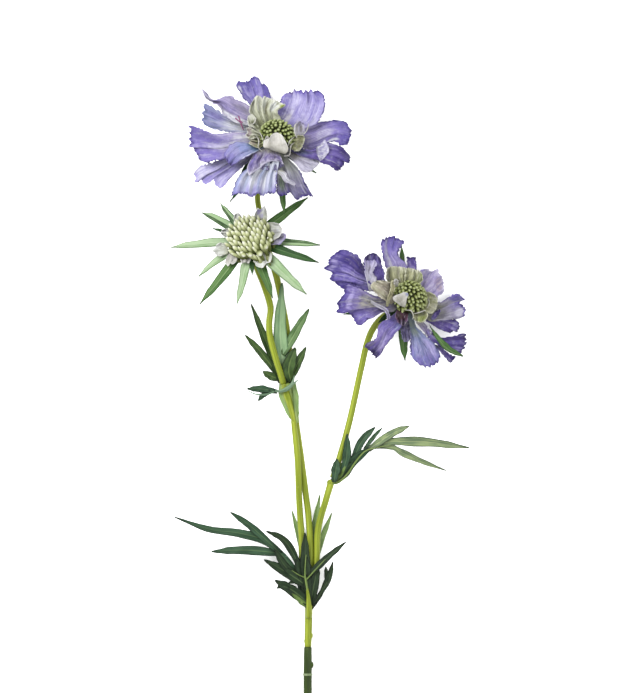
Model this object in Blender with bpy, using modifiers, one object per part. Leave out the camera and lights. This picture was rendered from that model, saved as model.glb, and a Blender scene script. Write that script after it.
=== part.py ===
"""A cut spray of scabiosa lying on a surface: two open blooms, one seed head, branching stems and cut leaves.

Lengths are written in millimetres and turned into metres where a shape is made.
+Y runs from the cut end to the blooms, +Z is up, and the lowest points rest at Z = 0.
"""

import math

import bmesh
import bpy
from mathutils import Matrix, Vector

MM = 0.001
SPRAY = "scabiosa"
TOOLS = "scabiosa_tools"

# Colours of the parts, linear RGB.
LILAC = (0.42, 0.36, 0.62)
PURPLE = (0.16, 0.09, 0.26)
PALE = (0.62, 0.60, 0.72)
CREAM = (0.62, 0.62, 0.42)
BUD_GREEN = (0.24, 0.30, 0.10)
SEED_GREEN = (0.42, 0.46, 0.20)
STEM_GREEN = (0.20, 0.30, 0.08)
SLEEVE_GREEN = (0.04, 0.09, 0.03)
LEAF_GREEN = (0.07, 0.13, 0.09)
BACK_GREEN = (0.20, 0.27, 0.17)
BRACT_GREEN = (0.15, 0.24, 0.08)

# Half width along a blade from base to tip, as a share of the widest half width.
PETAL_SHAPE = ((0.0, 0.0), (0.3, 0.55), (0.65, 1.0), (0.88, 0.96), (1.0, 0.66))
LEAF_SHAPE = ((0.0, 0.0), (0.3, 0.7), (0.55, 1.0), (0.8, 0.72), (1.0, 0.16))
LOBE_SHAPE = ((0.0, 0.7), (0.4, 1.0), (0.75, 0.85), (1.0, 0.16))
BLUNT_SHAPE = ((0.0, 0.0), (0.4, 0.6), (0.75, 1.0), (1.0, 0.85))

# Thickness of the sheets.
PETAL_SHEET = 0.6
LEAF_SHEET = 0.7

# Heights along a bloom's axis, measured from the plane of its upper petals.
LOWER_PETALS = -2.4
INNER_PETALS = 1.6
CORE_RADIUS = 4.4
CORE_TOP = 2.0
CORE_BOTTOM = -9.0
PETAL_START = 4.9
DOME_FLOOR = 2.6


UP = (0.0, 0.0, 1.0)

# Heads: name, centre, and the axis that the head faces along.
TOP_BLOOM = ("top_bloom", (-20.0, 121.0, 27.5), (0.08, 0.60, 0.796))
RIGHT_BLOOM = ("right_bloom", (39.9, 48.0, 17.5), (0.40, 0.28, 0.873))
SEED_HEAD = ("seed_head", (-33.0, 77.5, 29.0), (-0.15, 0.38, 0.913))

# Outer petals: name, azimuth, reach, half width, height at the middle, height at the tip, ring, cup.
TOP_PETALS = (
    ("top_petal_rear", 108, 41.0, 8.5, -1.0, -5.3, "lower", 1.5),
    ("top_petal_rear_right", 57, 34.5, 11.0, 3.0, -1.0, "upper", 1.5),
    ("top_petal_right", 14, 35.0, 9.0, -0.5, -4.5, "lower", 1.5),
    ("top_petal_front_right", -22, 34.0, 8.5, 3.5, 0.0, "upper", -2.0),
    ("top_petal_front_low", -67, 32.0, 8.0, -0.5, -7.5, "lower", 1.0),
    ("top_petal_front", -107, 32.0, 13.0, 3.0, -2.5, "upper", 1.0),
    ("top_petal_left_low", 203, 40.0, 9.5, -1.5, -6.0, "lower", 1.0),
    ("top_petal_left", 179, 40.5, 10.5, 3.0, -1.0, "upper", 1.0),
    ("top_petal_left_rear", 152, 38.5, 8.5, -1.5, -5.0, "lower", 1.0),
    ("top_petal_rear_left", 136, 43.0, 7.5, 3.0, -1.0, "upper", 2.0),
)
RIGHT_PETALS = (
    ("right_petal_rear", 100, 32.0, 7.5, -1.0, -3.5, "lower", 1.5),
    ("right_petal_rear_right", 38, 25.0, 8.5, 2.5, 0.0, "upper", 1.0),
    ("right_petal_right", 5, 31.5, 8.5, -1.5, -4.4, "lower", 1.0),
    ("right_petal_front_right", -31, 35.0, 7.5, 1.5, -2.0, "upper", 2.0),
    ("right_petal_front", -67, 32.5, 9.0, -1.5, -5.0, "lower", 1.0),
    ("right_petal_front_left", -117, 31.5, 7.8, 1.5, -2.0, "upper", 1.5),
    ("right_petal_left", 196, 35.5, 10.0, 3.0, 0.0, "upper", 1.0),
    ("right_petal_left_rear", 162, 40.5, 11.0, -0.5, -3.5, "lower", 1.0),
    ("right_petal_curled", 134, 26.5, 7.0, 0.5, 3.5, "upper", 2.0),
)

# Inner petals stand round the dome: azimuth, reach, half width, and height at the tip for each lobe.
TOP_INNER = (
    ("top_inner_front", ((-88, 9.0, 4.8, 12.5),)),
    ("top_inner_rear", ((118, 22.0, 4.5, 6.5), (88, 20.0, 5.2, 7.0))),
    ("top_inner_left", ((176, 15.5, 5.0, 7.5),)),
    ("top_inner_right", ((5, 12.5, 3.8, 9.0), (-42, 13.0, 3.4, 8.0))),
    ("top_inner_low", ((210, 25.5, 5.2, 6.5),)),
)
RIGHT_INNER = (
    ("right_inner_rear", ((100, 15.0, 6.5, 7.0), (144, 13.0, 4.5, 7.5))),
    ("right_inner_right", ((12, 13.5, 5.5, 6.5),)),
    ("right_inner_front", ((-62, 13.5, 4.5, 6.0),)),
    ("right_inner_low", ((-108, 16.0, 4.0, 6.5),)),
)

# Bracts under each head: azimuth, reach, half width, height at the tip.
TOP_BRACTS = (
    (-126, 36.0, 1.5, -10.5),
    (-82, 38.0, 1.5, -11.5),
    (-30, 22.0, 1.5, -8.0),
    (25, 22.0, 1.5, -7.5),
    (85, 22.0, 1.5, -7.5),
    (165, 22.0, 1.5, -8.0),
)
RIGHT_BRACTS = (
    (88, 29.5, 1.5, -8.0),
    (-38, 36.0, 1.6, -7.0),
    (-92, 25.0, 1.6, -6.5),
    (190, 36.5, 1.5, -7.0),
    (225, 22.0, 1.6, -7.0),
    (25, 18.0, 1.5, -6.5),
)
SEED_BRACTS = (
    (181, 36.8, 1.7, -6.0),
    (158, 18.6, 1.4, -4.5),
    (145, 27.7, 1.5, -6.0),
    (125, 24.5, 1.5, -6.0),
    (37, 33.5, 1.4, -6.0),
    (-7, 32.8, 1.5, -6.0),
    (-21, 34.0, 1.5, -7.0),
    (-47, 38.5, 1.9, -6.0),
    (-70, 30.8, 1.5, -6.0),
    (-86, 17.4, 1.4, -5.0),
    (-101, 31.9, 1.5, -6.0),
    (-128, 37.9, 1.7, -6.0),
    (-146, 28.9, 1.6, -6.0),
)


# ---------------------------------------------------------------- helpers


def mm(point):
    """Metres from a point in millimetres."""
    return Vector(point) * MM


def clear_scene():
    """Remove what the start-up file holds."""
    for item in list(bpy.data.objects):
        bpy.data.objects.remove(item, do_unlink=True)


def make_collection(name):
    """Collection linked to the scene."""
    group = bpy.data.collections.new(name)
    bpy.context.scene.collection.children.link(group)
    return group


def make_material(name, colour, roughness):
    """Principled material of one colour."""
    material = bpy.data.materials.new(name)
    material.use_nodes = True
    shader = material.node_tree.nodes["Principled BSDF"]
    shader.inputs["Base Color"].default_value = (*colour, 1.0)
    shader.inputs["Roughness"].default_value = roughness
    material.diffuse_color = (*colour, 1.0)
    return material


def place(name, data, colour, roughness=0.6):
    """Object of the spray with its own material."""
    item = bpy.data.objects.new(name, data)
    if isinstance(data, bpy.types.Mesh):
        data.shade_smooth()
        data.set_sharp_from_angle(angle=math.radians(50.0))
    data.materials.append(make_material(name + "_finish", colour, roughness))
    bpy.data.collections[SPRAY].objects.link(item)
    return item


def make_tool(item):
    """Move an object to the hidden tools that are joined into other objects."""
    for group in list(item.users_collection):
        group.objects.unlink(item)
    bpy.data.collections[TOOLS].objects.link(item)
    item.hide_render = True
    item.display_type = "WIRE"


def join_to(item, tools):
    """Unite tools into an object, each by its own Boolean modifier."""
    for tool in tools:
        make_tool(tool)
        union = item.modifiers.new("join_" + tool.name, "BOOLEAN")
        union.operation = "UNION"
        union.solver = "EXACT"
        union.object = tool
    return item


def ease(t):
    """Smooth step from 0 to 1."""
    return t * t * (3.0 - 2.0 * t)


def share(shape, v):
    """Value of a shape at v, eased between its stations."""
    for (v0, w0), (v1, w1) in zip(shape, shape[1:]):
        if v <= v1:
            return w0 + (w1 - w0) * ease((v - v0) / (v1 - v0))
    return shape[-1][1]


def along_spine(points, v):
    """Point on a smooth line through points, and its direction."""
    points = [Vector(p) for p in points]
    first = points[0] * 2.0 - points[1]
    last = points[-1] * 2.0 - points[-2]
    line = [first] + points + [last]
    spans = len(points) - 1
    span = min(int(v * spans), spans - 1)
    t = v * spans - span
    p0, p1, p2, p3 = line[span:span + 4]
    a = p1 * 2.0
    b = p2 - p0
    c = p0 * 2.0 - p1 * 5.0 + p2 * 4.0 - p3
    d = p1 * 3.0 - p0 - p2 * 3.0 + p3
    point = (a + b * t + c * t * t + d * t * t * t) * 0.5
    slope = b + c * (2.0 * t) + d * (3.0 * t * t)
    return point, slope.normalized()


class Head:
    """Flower head: an empty at its centre with local Z along its axis, which carries the head's pieces."""

    def __init__(self, name, centre, axis):
        normal = Vector(axis).normalized()
        across = Vector((1.0, 0.0, 0.0))
        side = (across - normal * across.dot(normal)).normalized()
        turned = Matrix((side, normal.cross(side), normal)).transposed().to_4x4()
        self.empty = bpy.data.objects.new(name, None)
        self.empty.matrix_world = Matrix.Translation(mm(centre)) @ turned
        bpy.data.collections[SPRAY].objects.link(self.empty)

    def at(self, azimuth, radius, height):
        """Local point at an azimuth in degrees, a distance from the axis and a height along it."""
        turn = math.radians(azimuth)
        return Vector((radius * math.cos(turn), radius * math.sin(turn), height))

    def carry(self, item):
        """Hang a piece on the head."""
        item.parent = self.empty
        return item


# ---------------------------------------------------------------- sheets: petals, bracts and leaves


def blade(name, spine, half_width, face, colour, shape=LEAF_SHAPE, base=1.0, cup=0.0, tip_bulge=0.0,
          sheet=LEAF_SHEET, across=2, along=6):
    """Closed sheet that follows a spine, faces a direction and is cupped across its width."""
    face = Vector(face).normalized()
    bm = bmesh.new()
    bmesh.ops.create_grid(bm, x_segments=across, y_segments=along, size=1.0)
    for vert in bm.verts:
        u = vert.co.x
        v = (vert.co.y + 1.0) / 2.0
        point, forward = along_spine(spine, v)
        side = forward.cross(face).normalized()
        normal = side.cross(forward)
        width = half_width * share(shape, v) + base * (1.0 - ease(min(1.0, v / 0.35)))
        point = point + side * (u * width)
        point = point + normal * (cup * u * u * ease(v))
        point = point + forward * (tip_bulge * (1.0 - u * u) * ease(v))
        vert.co = mm(point)
    data = bpy.data.meshes.new(name)
    bm.to_mesh(data)
    bm.free()
    item = place(name, data, colour)
    solid = item.modifiers.new("sheet", "SOLIDIFY")
    solid.thickness = sheet * MM
    solid.offset = 0.0
    return item


def outer_petal(head, row, colour):
    """One petal of a ring, reaching out from the core and drooping at its tip."""
    name, azimuth, reach, half_width, middle, tip, ring, cup = row
    start = LOWER_PETALS if ring == "lower" else 0.0
    spine = (
        head.at(azimuth, PETAL_START, start),
        head.at(azimuth, reach * 0.5, start + (middle - start) * 0.8),
        head.at(azimuth, reach - 2.0, tip),
    )
    petal = blade(name, spine, half_width, UP, colour, shape=PETAL_SHAPE, base=1.7, cup=cup,
                  tip_bulge=2.0, sheet=PETAL_SHEET, across=4, along=6)
    return head.carry(petal)


def inner_petal(head, name, lobes, colour):
    """Small cupped petal that passes under the dome and stands beside it, with one or two lobes."""
    made = []
    root = 1.3 if len(lobes) == 1 else 2.2
    for index, (azimuth, reach, half_width, tip) in enumerate(lobes):
        knee = max(10.6, min(reach, 11.5))
        spine = (
            head.at(azimuth, PETAL_START, INNER_PETALS),
            head.at(azimuth, knee, INNER_PETALS + 1.4),
            head.at(azimuth, max(knee, reach * 0.8 + 1.5), tip * 0.62),
            head.at(azimuth, reach, tip),
        )
        inward = head.at(azimuth + 180.0, 1.0, 1.0)
        label = name if index == 0 else name + "_lobe"
        lobe = blade(label, spine, half_width, inward, colour, shape=PETAL_SHAPE, base=root, cup=1.2,
                     tip_bulge=1.0, sheet=PETAL_SHEET, across=4, along=6)
        made.append(head.carry(lobe))
    return join_to(made[0], made[1:])


# ---------------------------------------------------------------- solids: domes, cores and stems


def knobbly_dome(name, head, radius, floor, rise, knob, columns, rows, colour):
    """Dome of packed knobs: an ellipsoid with a flattened underside and a brick pattern of bumps."""
    bm = bmesh.new()
    bmesh.ops.create_uvsphere(bm, u_segments=columns, v_segments=rows, radius=1.0)
    for vert in bm.verts:
        x, y, z = vert.co
        azimuth = math.atan2(y, x)
        polar = math.acos(max(-1.0, min(1.0, z)))
        flank = math.hypot(x, y)
        bump = knob * math.cos(azimuth * columns / 2) * math.cos(polar * rows) * flank
        height = z * (rise if z > 0.0 else 1.0) + floor + 1.0
        out = flank * radius + (bump if z > -0.3 else 0.0)
        lift = bump * z if z > 0.0 else 0.0
        vert.co = mm(head.at(math.degrees(azimuth), out, height + lift))
    data = bpy.data.meshes.new(name)
    bm.to_mesh(data)
    bm.free()
    return head.carry(place(name, data, colour))


def lathe_core(name, head, profile, colour, sides=12):
    """Solid turned about the head's axis from pairs of radius and height that start and end on the axis."""
    bm = bmesh.new()
    corners = [bm.verts.new(mm((radius, 0.0, height))) for radius, height in profile]
    edges = [bm.edges.new(pair) for pair in zip(corners, corners[1:])]
    bmesh.ops.spin(bm, geom=corners + edges, cent=(0, 0, 0), axis=UP, angle=math.tau, steps=sides)
    bmesh.ops.remove_doubles(bm, verts=bm.verts, dist=0.001 * MM)
    bmesh.ops.recalc_face_normals(bm, faces=bm.faces)
    data = bpy.data.meshes.new(name)
    bm.to_mesh(data)
    bm.free()
    return head.carry(place(name, data, colour))


def bract(head, name, row, root_radius, root_height, colour):
    """Narrow pointed bract that starts inside the core it is joined to."""
    azimuth, reach, half_width, tip = row
    spine = (
        head.at(azimuth, root_radius, root_height),
        head.at(azimuth, reach * 0.55, (root_height + tip) * 0.5),
        head.at(azimuth, reach, tip),
    )
    leaf = blade(name, spine, half_width, UP, colour, shape=LOBE_SHAPE, base=0.0, cup=0.3, across=2,
                 along=5)
    return head.carry(leaf)


def involucre(name, head, bracts, colour):
    """Core of a bloom with its bracts joined on under the petals."""
    profile = ((0.0, CORE_BOTTOM), (1.5, CORE_BOTTOM), (2.8, CORE_BOTTOM + 1.5), (4.2, -5.5),
               (CORE_RADIUS, -3.0), (CORE_RADIUS, CORE_TOP), (0.0, CORE_TOP))
    core = lathe_core(name, head, profile, colour)
    tools = []
    for index, row in enumerate(bracts):
        tools.append(bract(head, name + "_bract_" + str(index + 1), row, 3.0, -5.2, colour))
    return join_to(core, tools)


def seed_star(name, head, bracts, colour):
    """Cup behind the seed head with its star of bracts."""
    profile = ((0.0, -9.4), (1.6, -9.4), (3.0, -8.4), (7.5, -6.8), (9.5, -5.6), (9.5, -4.6), (0.0, -4.6))
    cup = lathe_core(name, head, profile, colour, sides=16)
    tools = []
    for index, row in enumerate(bracts):
        tools.append(bract(head, name + "_bract_" + str(index + 1), row, 6.0, -5.3, colour))
    return join_to(cup, tools)


def stem(name, points, colour, steps=3):
    """Round stem through points that each hold x, y, z and a radius."""
    data = bpy.data.curves.new(name, "CURVE")
    data.dimensions = "3D"
    data.resolution_u = steps
    data.render_resolution_u = 0
    data.bevel_depth = MM
    data.bevel_resolution = 1
    data.use_fill_caps = True
    spline = data.splines.new("BEZIER")
    spline.bezier_points.add(len(points) - 1)
    for knot, (x, y, z, radius) in zip(spline.bezier_points, points):
        knot.co = mm((x, y, z))
        knot.radius = radius
        knot.handle_left_type = "AUTO"
        knot.handle_right_type = "AUTO"
    return place(name, data, colour, 0.45)


def tube(name, points, colour, steps=3):
    """The same round stem as a closed mesh, which other pieces can be joined to."""
    line = stem(name, points, colour, steps)
    view = bpy.context.evaluated_depsgraph_get()
    data = bpy.data.meshes.new_from_object(line.evaluated_get(view))
    bpy.data.objects.remove(line, do_unlink=True)
    bm = bmesh.new()
    bm.from_mesh(data)
    bmesh.ops.remove_doubles(bm, verts=bm.verts, dist=0.001 * MM)
    bmesh.ops.recalc_face_normals(bm, faces=bm.faces)
    bm.to_mesh(data)
    bm.free()
    data.materials.clear()
    return place(name, data, colour, 0.45)


def knob(name, centre, size, colour):
    """Small ellipsoid used as a collar or a nub."""
    bm = bmesh.new()
    bmesh.ops.create_uvsphere(bm, u_segments=12, v_segments=6, radius=1.0)
    for vert in bm.verts:
        vert.co = mm((
            centre[0] + vert.co.x * size[0],
            centre[1] + vert.co.y * size[1],
            centre[2] + vert.co.z * size[2],
        ))
    data = bpy.data.meshes.new(name)
    bm.to_mesh(data)
    bm.free()
    return place(name, data, colour)


# ---------------------------------------------------------------- the spray


def build_lower_stem():
    """Cut end in its dark sleeve with a collar ring, and the main stem up to the fork."""
    sleeve = tube("stem_sleeve", (
        (-5.7, -152.0, 1.78, 2.05),
        (-5.7, -138.0, 2.2, 2.05),
        (-5.7, -124.2, 2.5, 2.0),
        (-5.6, -112.0, 2.8, 1.7),
    ), SLEEVE_GREEN)
    ring = tube("sleeve_ring", ((-5.7, -125.2, 2.5, 2.35), (-5.7, -123.4, 2.5, 2.35)), SLEEVE_GREEN, steps=1)
    nub = knob("sleeve_nub", (-4.0, -120.0, 2.9), (1.1, 1.6, 0.9), SLEEVE_GREEN)
    join_to(sleeve, (ring, nub))
    main = tube("stem_main", (
        (-5.6, -111.6, 2.9, 1.45),
        (-5.4, -104.0, 3.3, 1.5),
        (-5.2, -94.0, 4.1, 1.5),
        (-5.1, -85.0, 5.2, 1.6),
    ), STEM_GREEN)
    fork = knob("stem_main_fork", (-5.1, -86.0, 5.4), (4.2, 3.4, 1.9), STEM_GREEN)
    nub = knob("stem_main_nub", (-4.1, -108.0, 3.2), (0.9, 1.5, 0.8), STEM_GREEN)
    return join_to(main, (fork, nub))


def build_branches():
    """Two branches that rise side by side from the fork to the upper sheath."""
    stem("stem_branch_left", (
        (-8.0, -82.2, 5.6, 1.15),
        (-8.3, -70.0, 6.4, 1.2),
        (-8.6, -59.8, 7.0, 1.2),
        (-9.6, -43.7, 8.0, 1.2),
        (-10.3, -25.3, 9.2, 1.2),
        (-12.2, -7.0, 10.4, 1.2),
    ), STEM_GREEN)
    stem("stem_branch_right", (
        (-5.1, -82.0, 5.7, 1.15),
        (-4.4, -71.0, 5.9, 1.2),
        (-5.2, -52.9, 5.9, 1.2),
        (-6.6, -41.0, 6.0, 1.2),
        (-8.6, -25.3, 6.4, 1.2),
        (-11.0, -7.0, 7.8, 1.2),
    ), STEM_GREEN)
    sheath = stem("stem_sheath", (
        (-15.2, 9.6, 10.2, 3.7),
        (-15.0, 6.4, 10.1, 3.8),
        (-13.4, 0.0, 9.7, 3.2),
        (-11.9, -6.0, 9.2, 2.7),
    ), STEM_GREEN)
    return sheath


def build_bloom_stems():
    """Stems from the upper sheath to the top bloom and the seed head, and both lengths of the right stem."""
    stem("stem_top_bloom", (
        (-13.4, 10.0, 8.4, 1.2),
        (-14.3, 26.2, 10.2, 1.2),
        (-15.6, 36.8, 11.0, 1.2),
        (-19.8, 58.0, 11.8, 1.2),
        (-24.0, 72.0, 12.4, 1.2),
        (-29.0, 88.0, 13.4, 1.25),
        (-28.2, 99.0, 13.6, 1.3),
        (-24.2, 107.5, 14.3, 1.35),
        (-21.5, 112.4, 16.3, 1.35),
        (-20.8, 115.2, 19.8, 1.4),
    ), STEM_GREEN)
    stem("stem_seed_head", (
        (-16.9, 10.0, 12.3, 1.2),
        (-18.4, 15.0, 14.2, 1.2),
        (-20.2, 20.7, 15.5, 1.2),
        (-22.9, 31.0, 16.0, 1.2),
        (-23.4, 38.0, 15.8, 1.2),
        (-22.8, 45.0, 15.6, 1.2),
        (-25.5, 54.5, 16.0, 1.25),
        (-28.8, 63.0, 15.8, 1.3),
        (-31.0, 71.0, 16.6, 1.35),
        (-31.6, 73.8, 20.0, 1.4),
    ), STEM_GREEN)
    lower = tube("stem_right_lower", (
        (-2.2, -82.2, 5.6, 1.15),
        (-1.6, -73.6, 6.0, 1.2),
        (-0.9, -57.5, 6.6, 1.2),
        (2.8, -43.7, 7.2, 1.25),
        (5.2, -35.4, 7.6, 1.4),
    ), STEM_GREEN)
    collar = knob("right_collar", (5.2, -35.6, 7.6), (2.1, 1.4, 2.0), STEM_GREEN)
    join_to(lower, (collar,))
    stem("stem_right_upper", (
        (6.0, -33.6, 7.8, 1.3),
        (10.1, -20.7, 8.3, 1.2),
        (14.3, -4.6, 8.9, 1.2),
        (19.0, 17.0, 9.5, 1.2),
        (22.3, 30.5, 9.8, 1.2),
        (27.0, 38.5, 9.9, 1.25),
        (34.6, 44.4, 8.9, 1.3),
    ), STEM_GREEN)


def build_base_leaves():
    """Leaves round the fork: a dissected leaf in front, a long lobed one to the left and smaller ones."""
    front = blade("leaf_base_front", ((-5.2, -92.8, 6.5), (-5.4, -86.0, 8.5), (-6.6, -76.0, 9.1),
                                      (-6.9, -67.0, 9.7), (-6.9, -58.9, 10.4)), 2.2, UP, LEAF_GREEN, base=0.9,
                  along=9)
    lobes = (
        blade("leaf_base_front_b", ((-6.2, -90.0, 7.7), (-12.5, -85.6, 7.8), (-20.8, -80.8, 8.4)), 2.7, UP,
              LEAF_GREEN, shape=LOBE_SHAPE, base=0.0),
        blade("leaf_base_front_c", ((-5.9, -83.5, 8.6), (-14.5, -77.8, 8.5), (-25.8, -71.3, 9.4)), 2.3, UP,
              LEAF_GREEN, shape=LOBE_SHAPE, base=0.0),
        blade("leaf_base_front_d", ((-5.9, -79.5, 8.9), (2.2, -71.4, 10.0), (12.0, -63.0, 11.5)), 1.9, UP,
              LEAF_GREEN, shape=LOBE_SHAPE, base=0.0),
    )
    join_to(front, lobes)
    left = blade("leaf_base_left", ((-10.8, -84.2, 6.3), (-13.8, -72.5, 7.0), (-23.9, -63.5, 9.0),
                                    (-36.8, -59.2, 10.5), (-51.5, -57.2, 11.5), (-66.2, -52.0, 12.5)),
                 2.4, UP, LEAF_GREEN, base=1.2, along=12)
    lobes = (
        blade("leaf_base_left_b", ((-18.0, -68.5, 8.0), (-31.5, -56.2, 11.3), (-41.4, -49.2, 13.0)), 1.7, UP,
              LEAF_GREEN, shape=LOBE_SHAPE, base=0.0),
        blade("leaf_base_left_c", ((-18.5, -68.4, 7.7), (-34.0, -67.0, 9.0), (-50.1, -67.6, 8.5)), 2.1, UP,
              LEAF_GREEN, shape=LOBE_SHAPE, base=0.0),
        blade("leaf_base_left_d", ((-12.5, -75.5, 6.8), (-16.5, -73.0, 7.0), (-20.7, -66.9, 8.0)), 1.6, UP,
              LEAF_GREEN, shape=LOBE_SHAPE, base=0.0, along=4),
    )
    join_to(left, lobes)
    blade("leaf_base_upper", ((-9.6, -77.2, 8.2), (-11.4, -70.0, 9.4), (-16.6, -62.1, 11.8), (-24.8, -58.0, 13.8)),
          1.8, UP, LEAF_GREEN, base=0.7)
    low = blade("leaf_base_right_lower", ((-1.9, -91.6, 4.4), (2.4, -84.0, 5.4), (4.4, -78.5, 6.2),
                                          (6.0, -72.2, 7.4)), 1.9, UP, LEAF_GREEN)
    fang = blade("leaf_base_right_lower_b", ((3.0, -81.5, 5.8), (3.0, -78.0, 6.1), (2.6, -74.6, 6.6)), 1.1, UP,
                 LEAF_GREEN, shape=LOBE_SHAPE, base=0.0, along=3)
    join_to(low, (fang,))
    back = blade("leaf_base_back", ((-4.6, -84.0, 2.8), (-3.2, -62.0, 3.1), (0.0, -41.4, 4.0)), 1.6, UP,
                 BACK_GREEN)
    tips = (
        blade("leaf_base_back_b", ((-5.0, -78.5, 2.9), (-8.7, -64.4, 3.2), (-12.9, -48.8, 4.4)), 1.5, UP,
              BACK_GREEN, shape=LOBE_SHAPE, base=0.0),
        blade("leaf_base_back_c", ((-4.4, -78.5, 2.9), (0.0, -64.4, 3.0), (5.5, -49.7, 3.6)), 1.5, UP,
              BACK_GREEN, shape=LOBE_SHAPE, base=0.0),
    )
    join_to(back, tips)


def build_upper_leaves():
    """Leaves round the upper sheath."""
    centre = blade("leaf_upper_centre", ((-15.6, 10.3, 10.4), (-17.2, 20.0, 12.6), (-18.4, 34.0, 13.6),
                                         (-17.5, 56.1, 15.5)), 3.4, UP, BACK_GREEN, along=8)
    wing = blade("leaf_upper_centre_b", ((-17.2, 23.0, 12.9), (-11.5, 33.0, 13.8), (-5.1, 44.2, 15.5)), 2.1, UP,
                 BACK_GREEN, shape=LOBE_SHAPE, base=0.0)
    join_to(centre, (wing,))
    left = blade("leaf_upper_left", ((-18.3, 10.3, 9.6), (-21.8, 21.0, 11.3), (-26.4, 33.0, 13.0),
                                     (-31.7, 46.5, 15.0)), 1.8, UP, LEAF_GREEN, along=7)
    lobes = (
        blade("leaf_upper_left_b", ((-19.8, 14.5, 10.3), (-27.4, 24.5, 12.2), (-34.5, 32.2, 13.5)), 1.7, UP,
              LEAF_GREEN, shape=LOBE_SHAPE, base=0.0),
        blade("leaf_upper_left_c", ((-19.2, 12.0, 9.9), (-22.8, 13.4, 10.3), (-26.4, 15.4, 10.8)), 1.9, UP,
              LEAF_GREEN, shape=LOBE_SHAPE, base=0.0, along=3),
    )
    join_to(left, lobes)
    right = blade("leaf_upper_right", ((-13.2, 10.3, 11.2), (-14.0, 17.0, 14.0), (-14.2, 25.6, 15.0)), 3.4, UP,
                  LEAF_GREEN, shape=BLUNT_SHAPE)
    spike = blade("leaf_upper_right_b", ((-13.4, 12.0, 12.0), (-10.3, 19.0, 14.0), (-6.4, 26.7, 15.0)), 1.8, UP,
                  LEAF_GREEN, shape=LOBE_SHAPE, base=0.0)
    join_to(right, (spike,))
    low = blade("leaf_upper_low", ((-19.6, 6.0, 10.6), (-26.0, 7.2, 10.4), (-33.6, 7.4, 11.5)), 1.7, UP,
                LEAF_GREEN)
    toe = blade("leaf_upper_low_b", ((-22.6, 6.3, 10.5), (-26.0, 4.6, 10.2), (-28.5, 1.8, 10.6)), 1.3, UP,
                LEAF_GREEN, shape=LOBE_SHAPE, base=0.0, along=4)
    join_to(low, (toe,))


def build_right_leaves():
    """Long lobed leaf and two small leaves at the collar of the right stem."""
    long = blade("leaf_right", ((8.2, -36.0, 7.0), (13.8, -29.9, 8.0), (20.0, -22.6, 9.4), (33.1, -19.0, 11.0),
                                (50.6, -17.6, 11.5), (69.0, -19.8, 10.0)), 2.0, UP, LEAF_GREEN, along=12)
    lobes = (
        blade("leaf_right_b", ((20.0, -22.4, 9.4), (24.0, -17.0, 10.6), (25.8, -10.1, 12.0)), 1.6, UP, LEAF_GREEN,
              shape=LOBE_SHAPE, base=0.0, along=4),
        blade("leaf_right_c", ((24.0, -19.4, 10.0), (32.2, -13.2, 11.6), (41.4, -10.1, 13.0)), 1.7, UP, LEAF_GREEN,
              shape=LOBE_SHAPE, base=0.0),
        blade("leaf_right_e", ((9.4, -34.2, 7.2), (14.6, -28.2, 8.2), (21.5, -21.6, 9.6)), 2.8, UP, LEAF_GREEN,
              shape=LOBE_SHAPE, base=0.0, along=4),
        blade("leaf_right_d", ((29.5, -19.8, 10.6), (43.0, -23.8, 10.0), (58.4, -30.4, 8.5)), 1.4, UP, LEAF_GREEN,
              shape=LOBE_SHAPE, base=0.0),
    )
    join_to(long, lobes)
    blade("leaf_right_upright", ((9.6, -32.8, 9.0), (11.6, -24.0, 11.0), (12.9, -13.3, 12.5)), 1.9, UP, LEAF_GREEN)
    blade("leaf_right_small", ((6.4, -35.6, 10.3), (7.2, -30.5, 10.9), (7.9, -24.8, 11.2)), 2.2, UP, LEAF_GREEN,
          along=5)


def build_bloom(place_of_head, petals, inner, bracts, prefix, petal_colour):
    """Open bloom: core with bracts, two rings of petals, inner petals and a dome of buds."""
    head = Head(*place_of_head)
    involucre(prefix + "_involucre", head, bracts, BRACT_GREEN)
    for row in petals:
        outer_petal(head, row, petal_colour)
    for name, lobes in inner:
        inner_petal(head, name, lobes, CREAM)
    knobbly_dome(prefix + "_dome", head, 9.0, DOME_FLOOR, 8.0, 0.45, 24, 12, BUD_GREEN)


def leftover_petal(head, name, azimuth, reach, half_width):
    """Short petal left at the edge of the seed head, standing up beside its dome."""
    spine = (head.at(azimuth, 12.0, -4.9), head.at(azimuth, 16.8, -2.8), head.at(azimuth, reach, 3.2))
    petal = blade(name, spine, half_width, UP, PALE, shape=PETAL_SHAPE, base=1.5, cup=0.8,
                  sheet=PETAL_SHEET, across=4, along=4)
    return head.carry(petal)


def build_seed_head():
    """Seed head: a latticed dome on a star of bracts, with two leftover petals at its edge."""
    head = Head(*SEED_HEAD)
    seed_star("seed_bracts", head, SEED_BRACTS, BRACT_GREEN)
    knobbly_dome("seed_dome", head, 14.2, -4.2, 11.5, 0.5, 32, 16, SEED_GREEN)
    leftover_petal(head, "seed_petal_top", 71, 18.5, 3.2)
    leftover_petal(head, "seed_petal_side", 9, 18.0, 5.5)


def main():
    clear_scene()
    make_collection(SPRAY)
    make_collection(TOOLS)
    build_lower_stem()
    build_branches()
    build_bloom_stems()
    build_base_leaves()
    build_upper_leaves()
    build_right_leaves()
    build_bloom(TOP_BLOOM, TOP_PETALS, TOP_INNER, TOP_BRACTS, "top", LILAC)
    build_bloom(RIGHT_BLOOM, RIGHT_PETALS, RIGHT_INNER, RIGHT_BRACTS, "right", PURPLE)
    build_seed_head()


main()
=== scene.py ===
"""Looks of a cut spray of scabiosa lying on a pale floor, seen from above.

Lengths are in millimetres, in the frame of the CAD model, and become metres where a mesh is made.
Petals are laid out in plan, as the camera above sees them, from the centre of their own head.
A piece that has the name of a CAD node stands for that node.
"""

import bisect
import math
import random

import bpy
from mathutils import Matrix, Vector, noise


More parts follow.
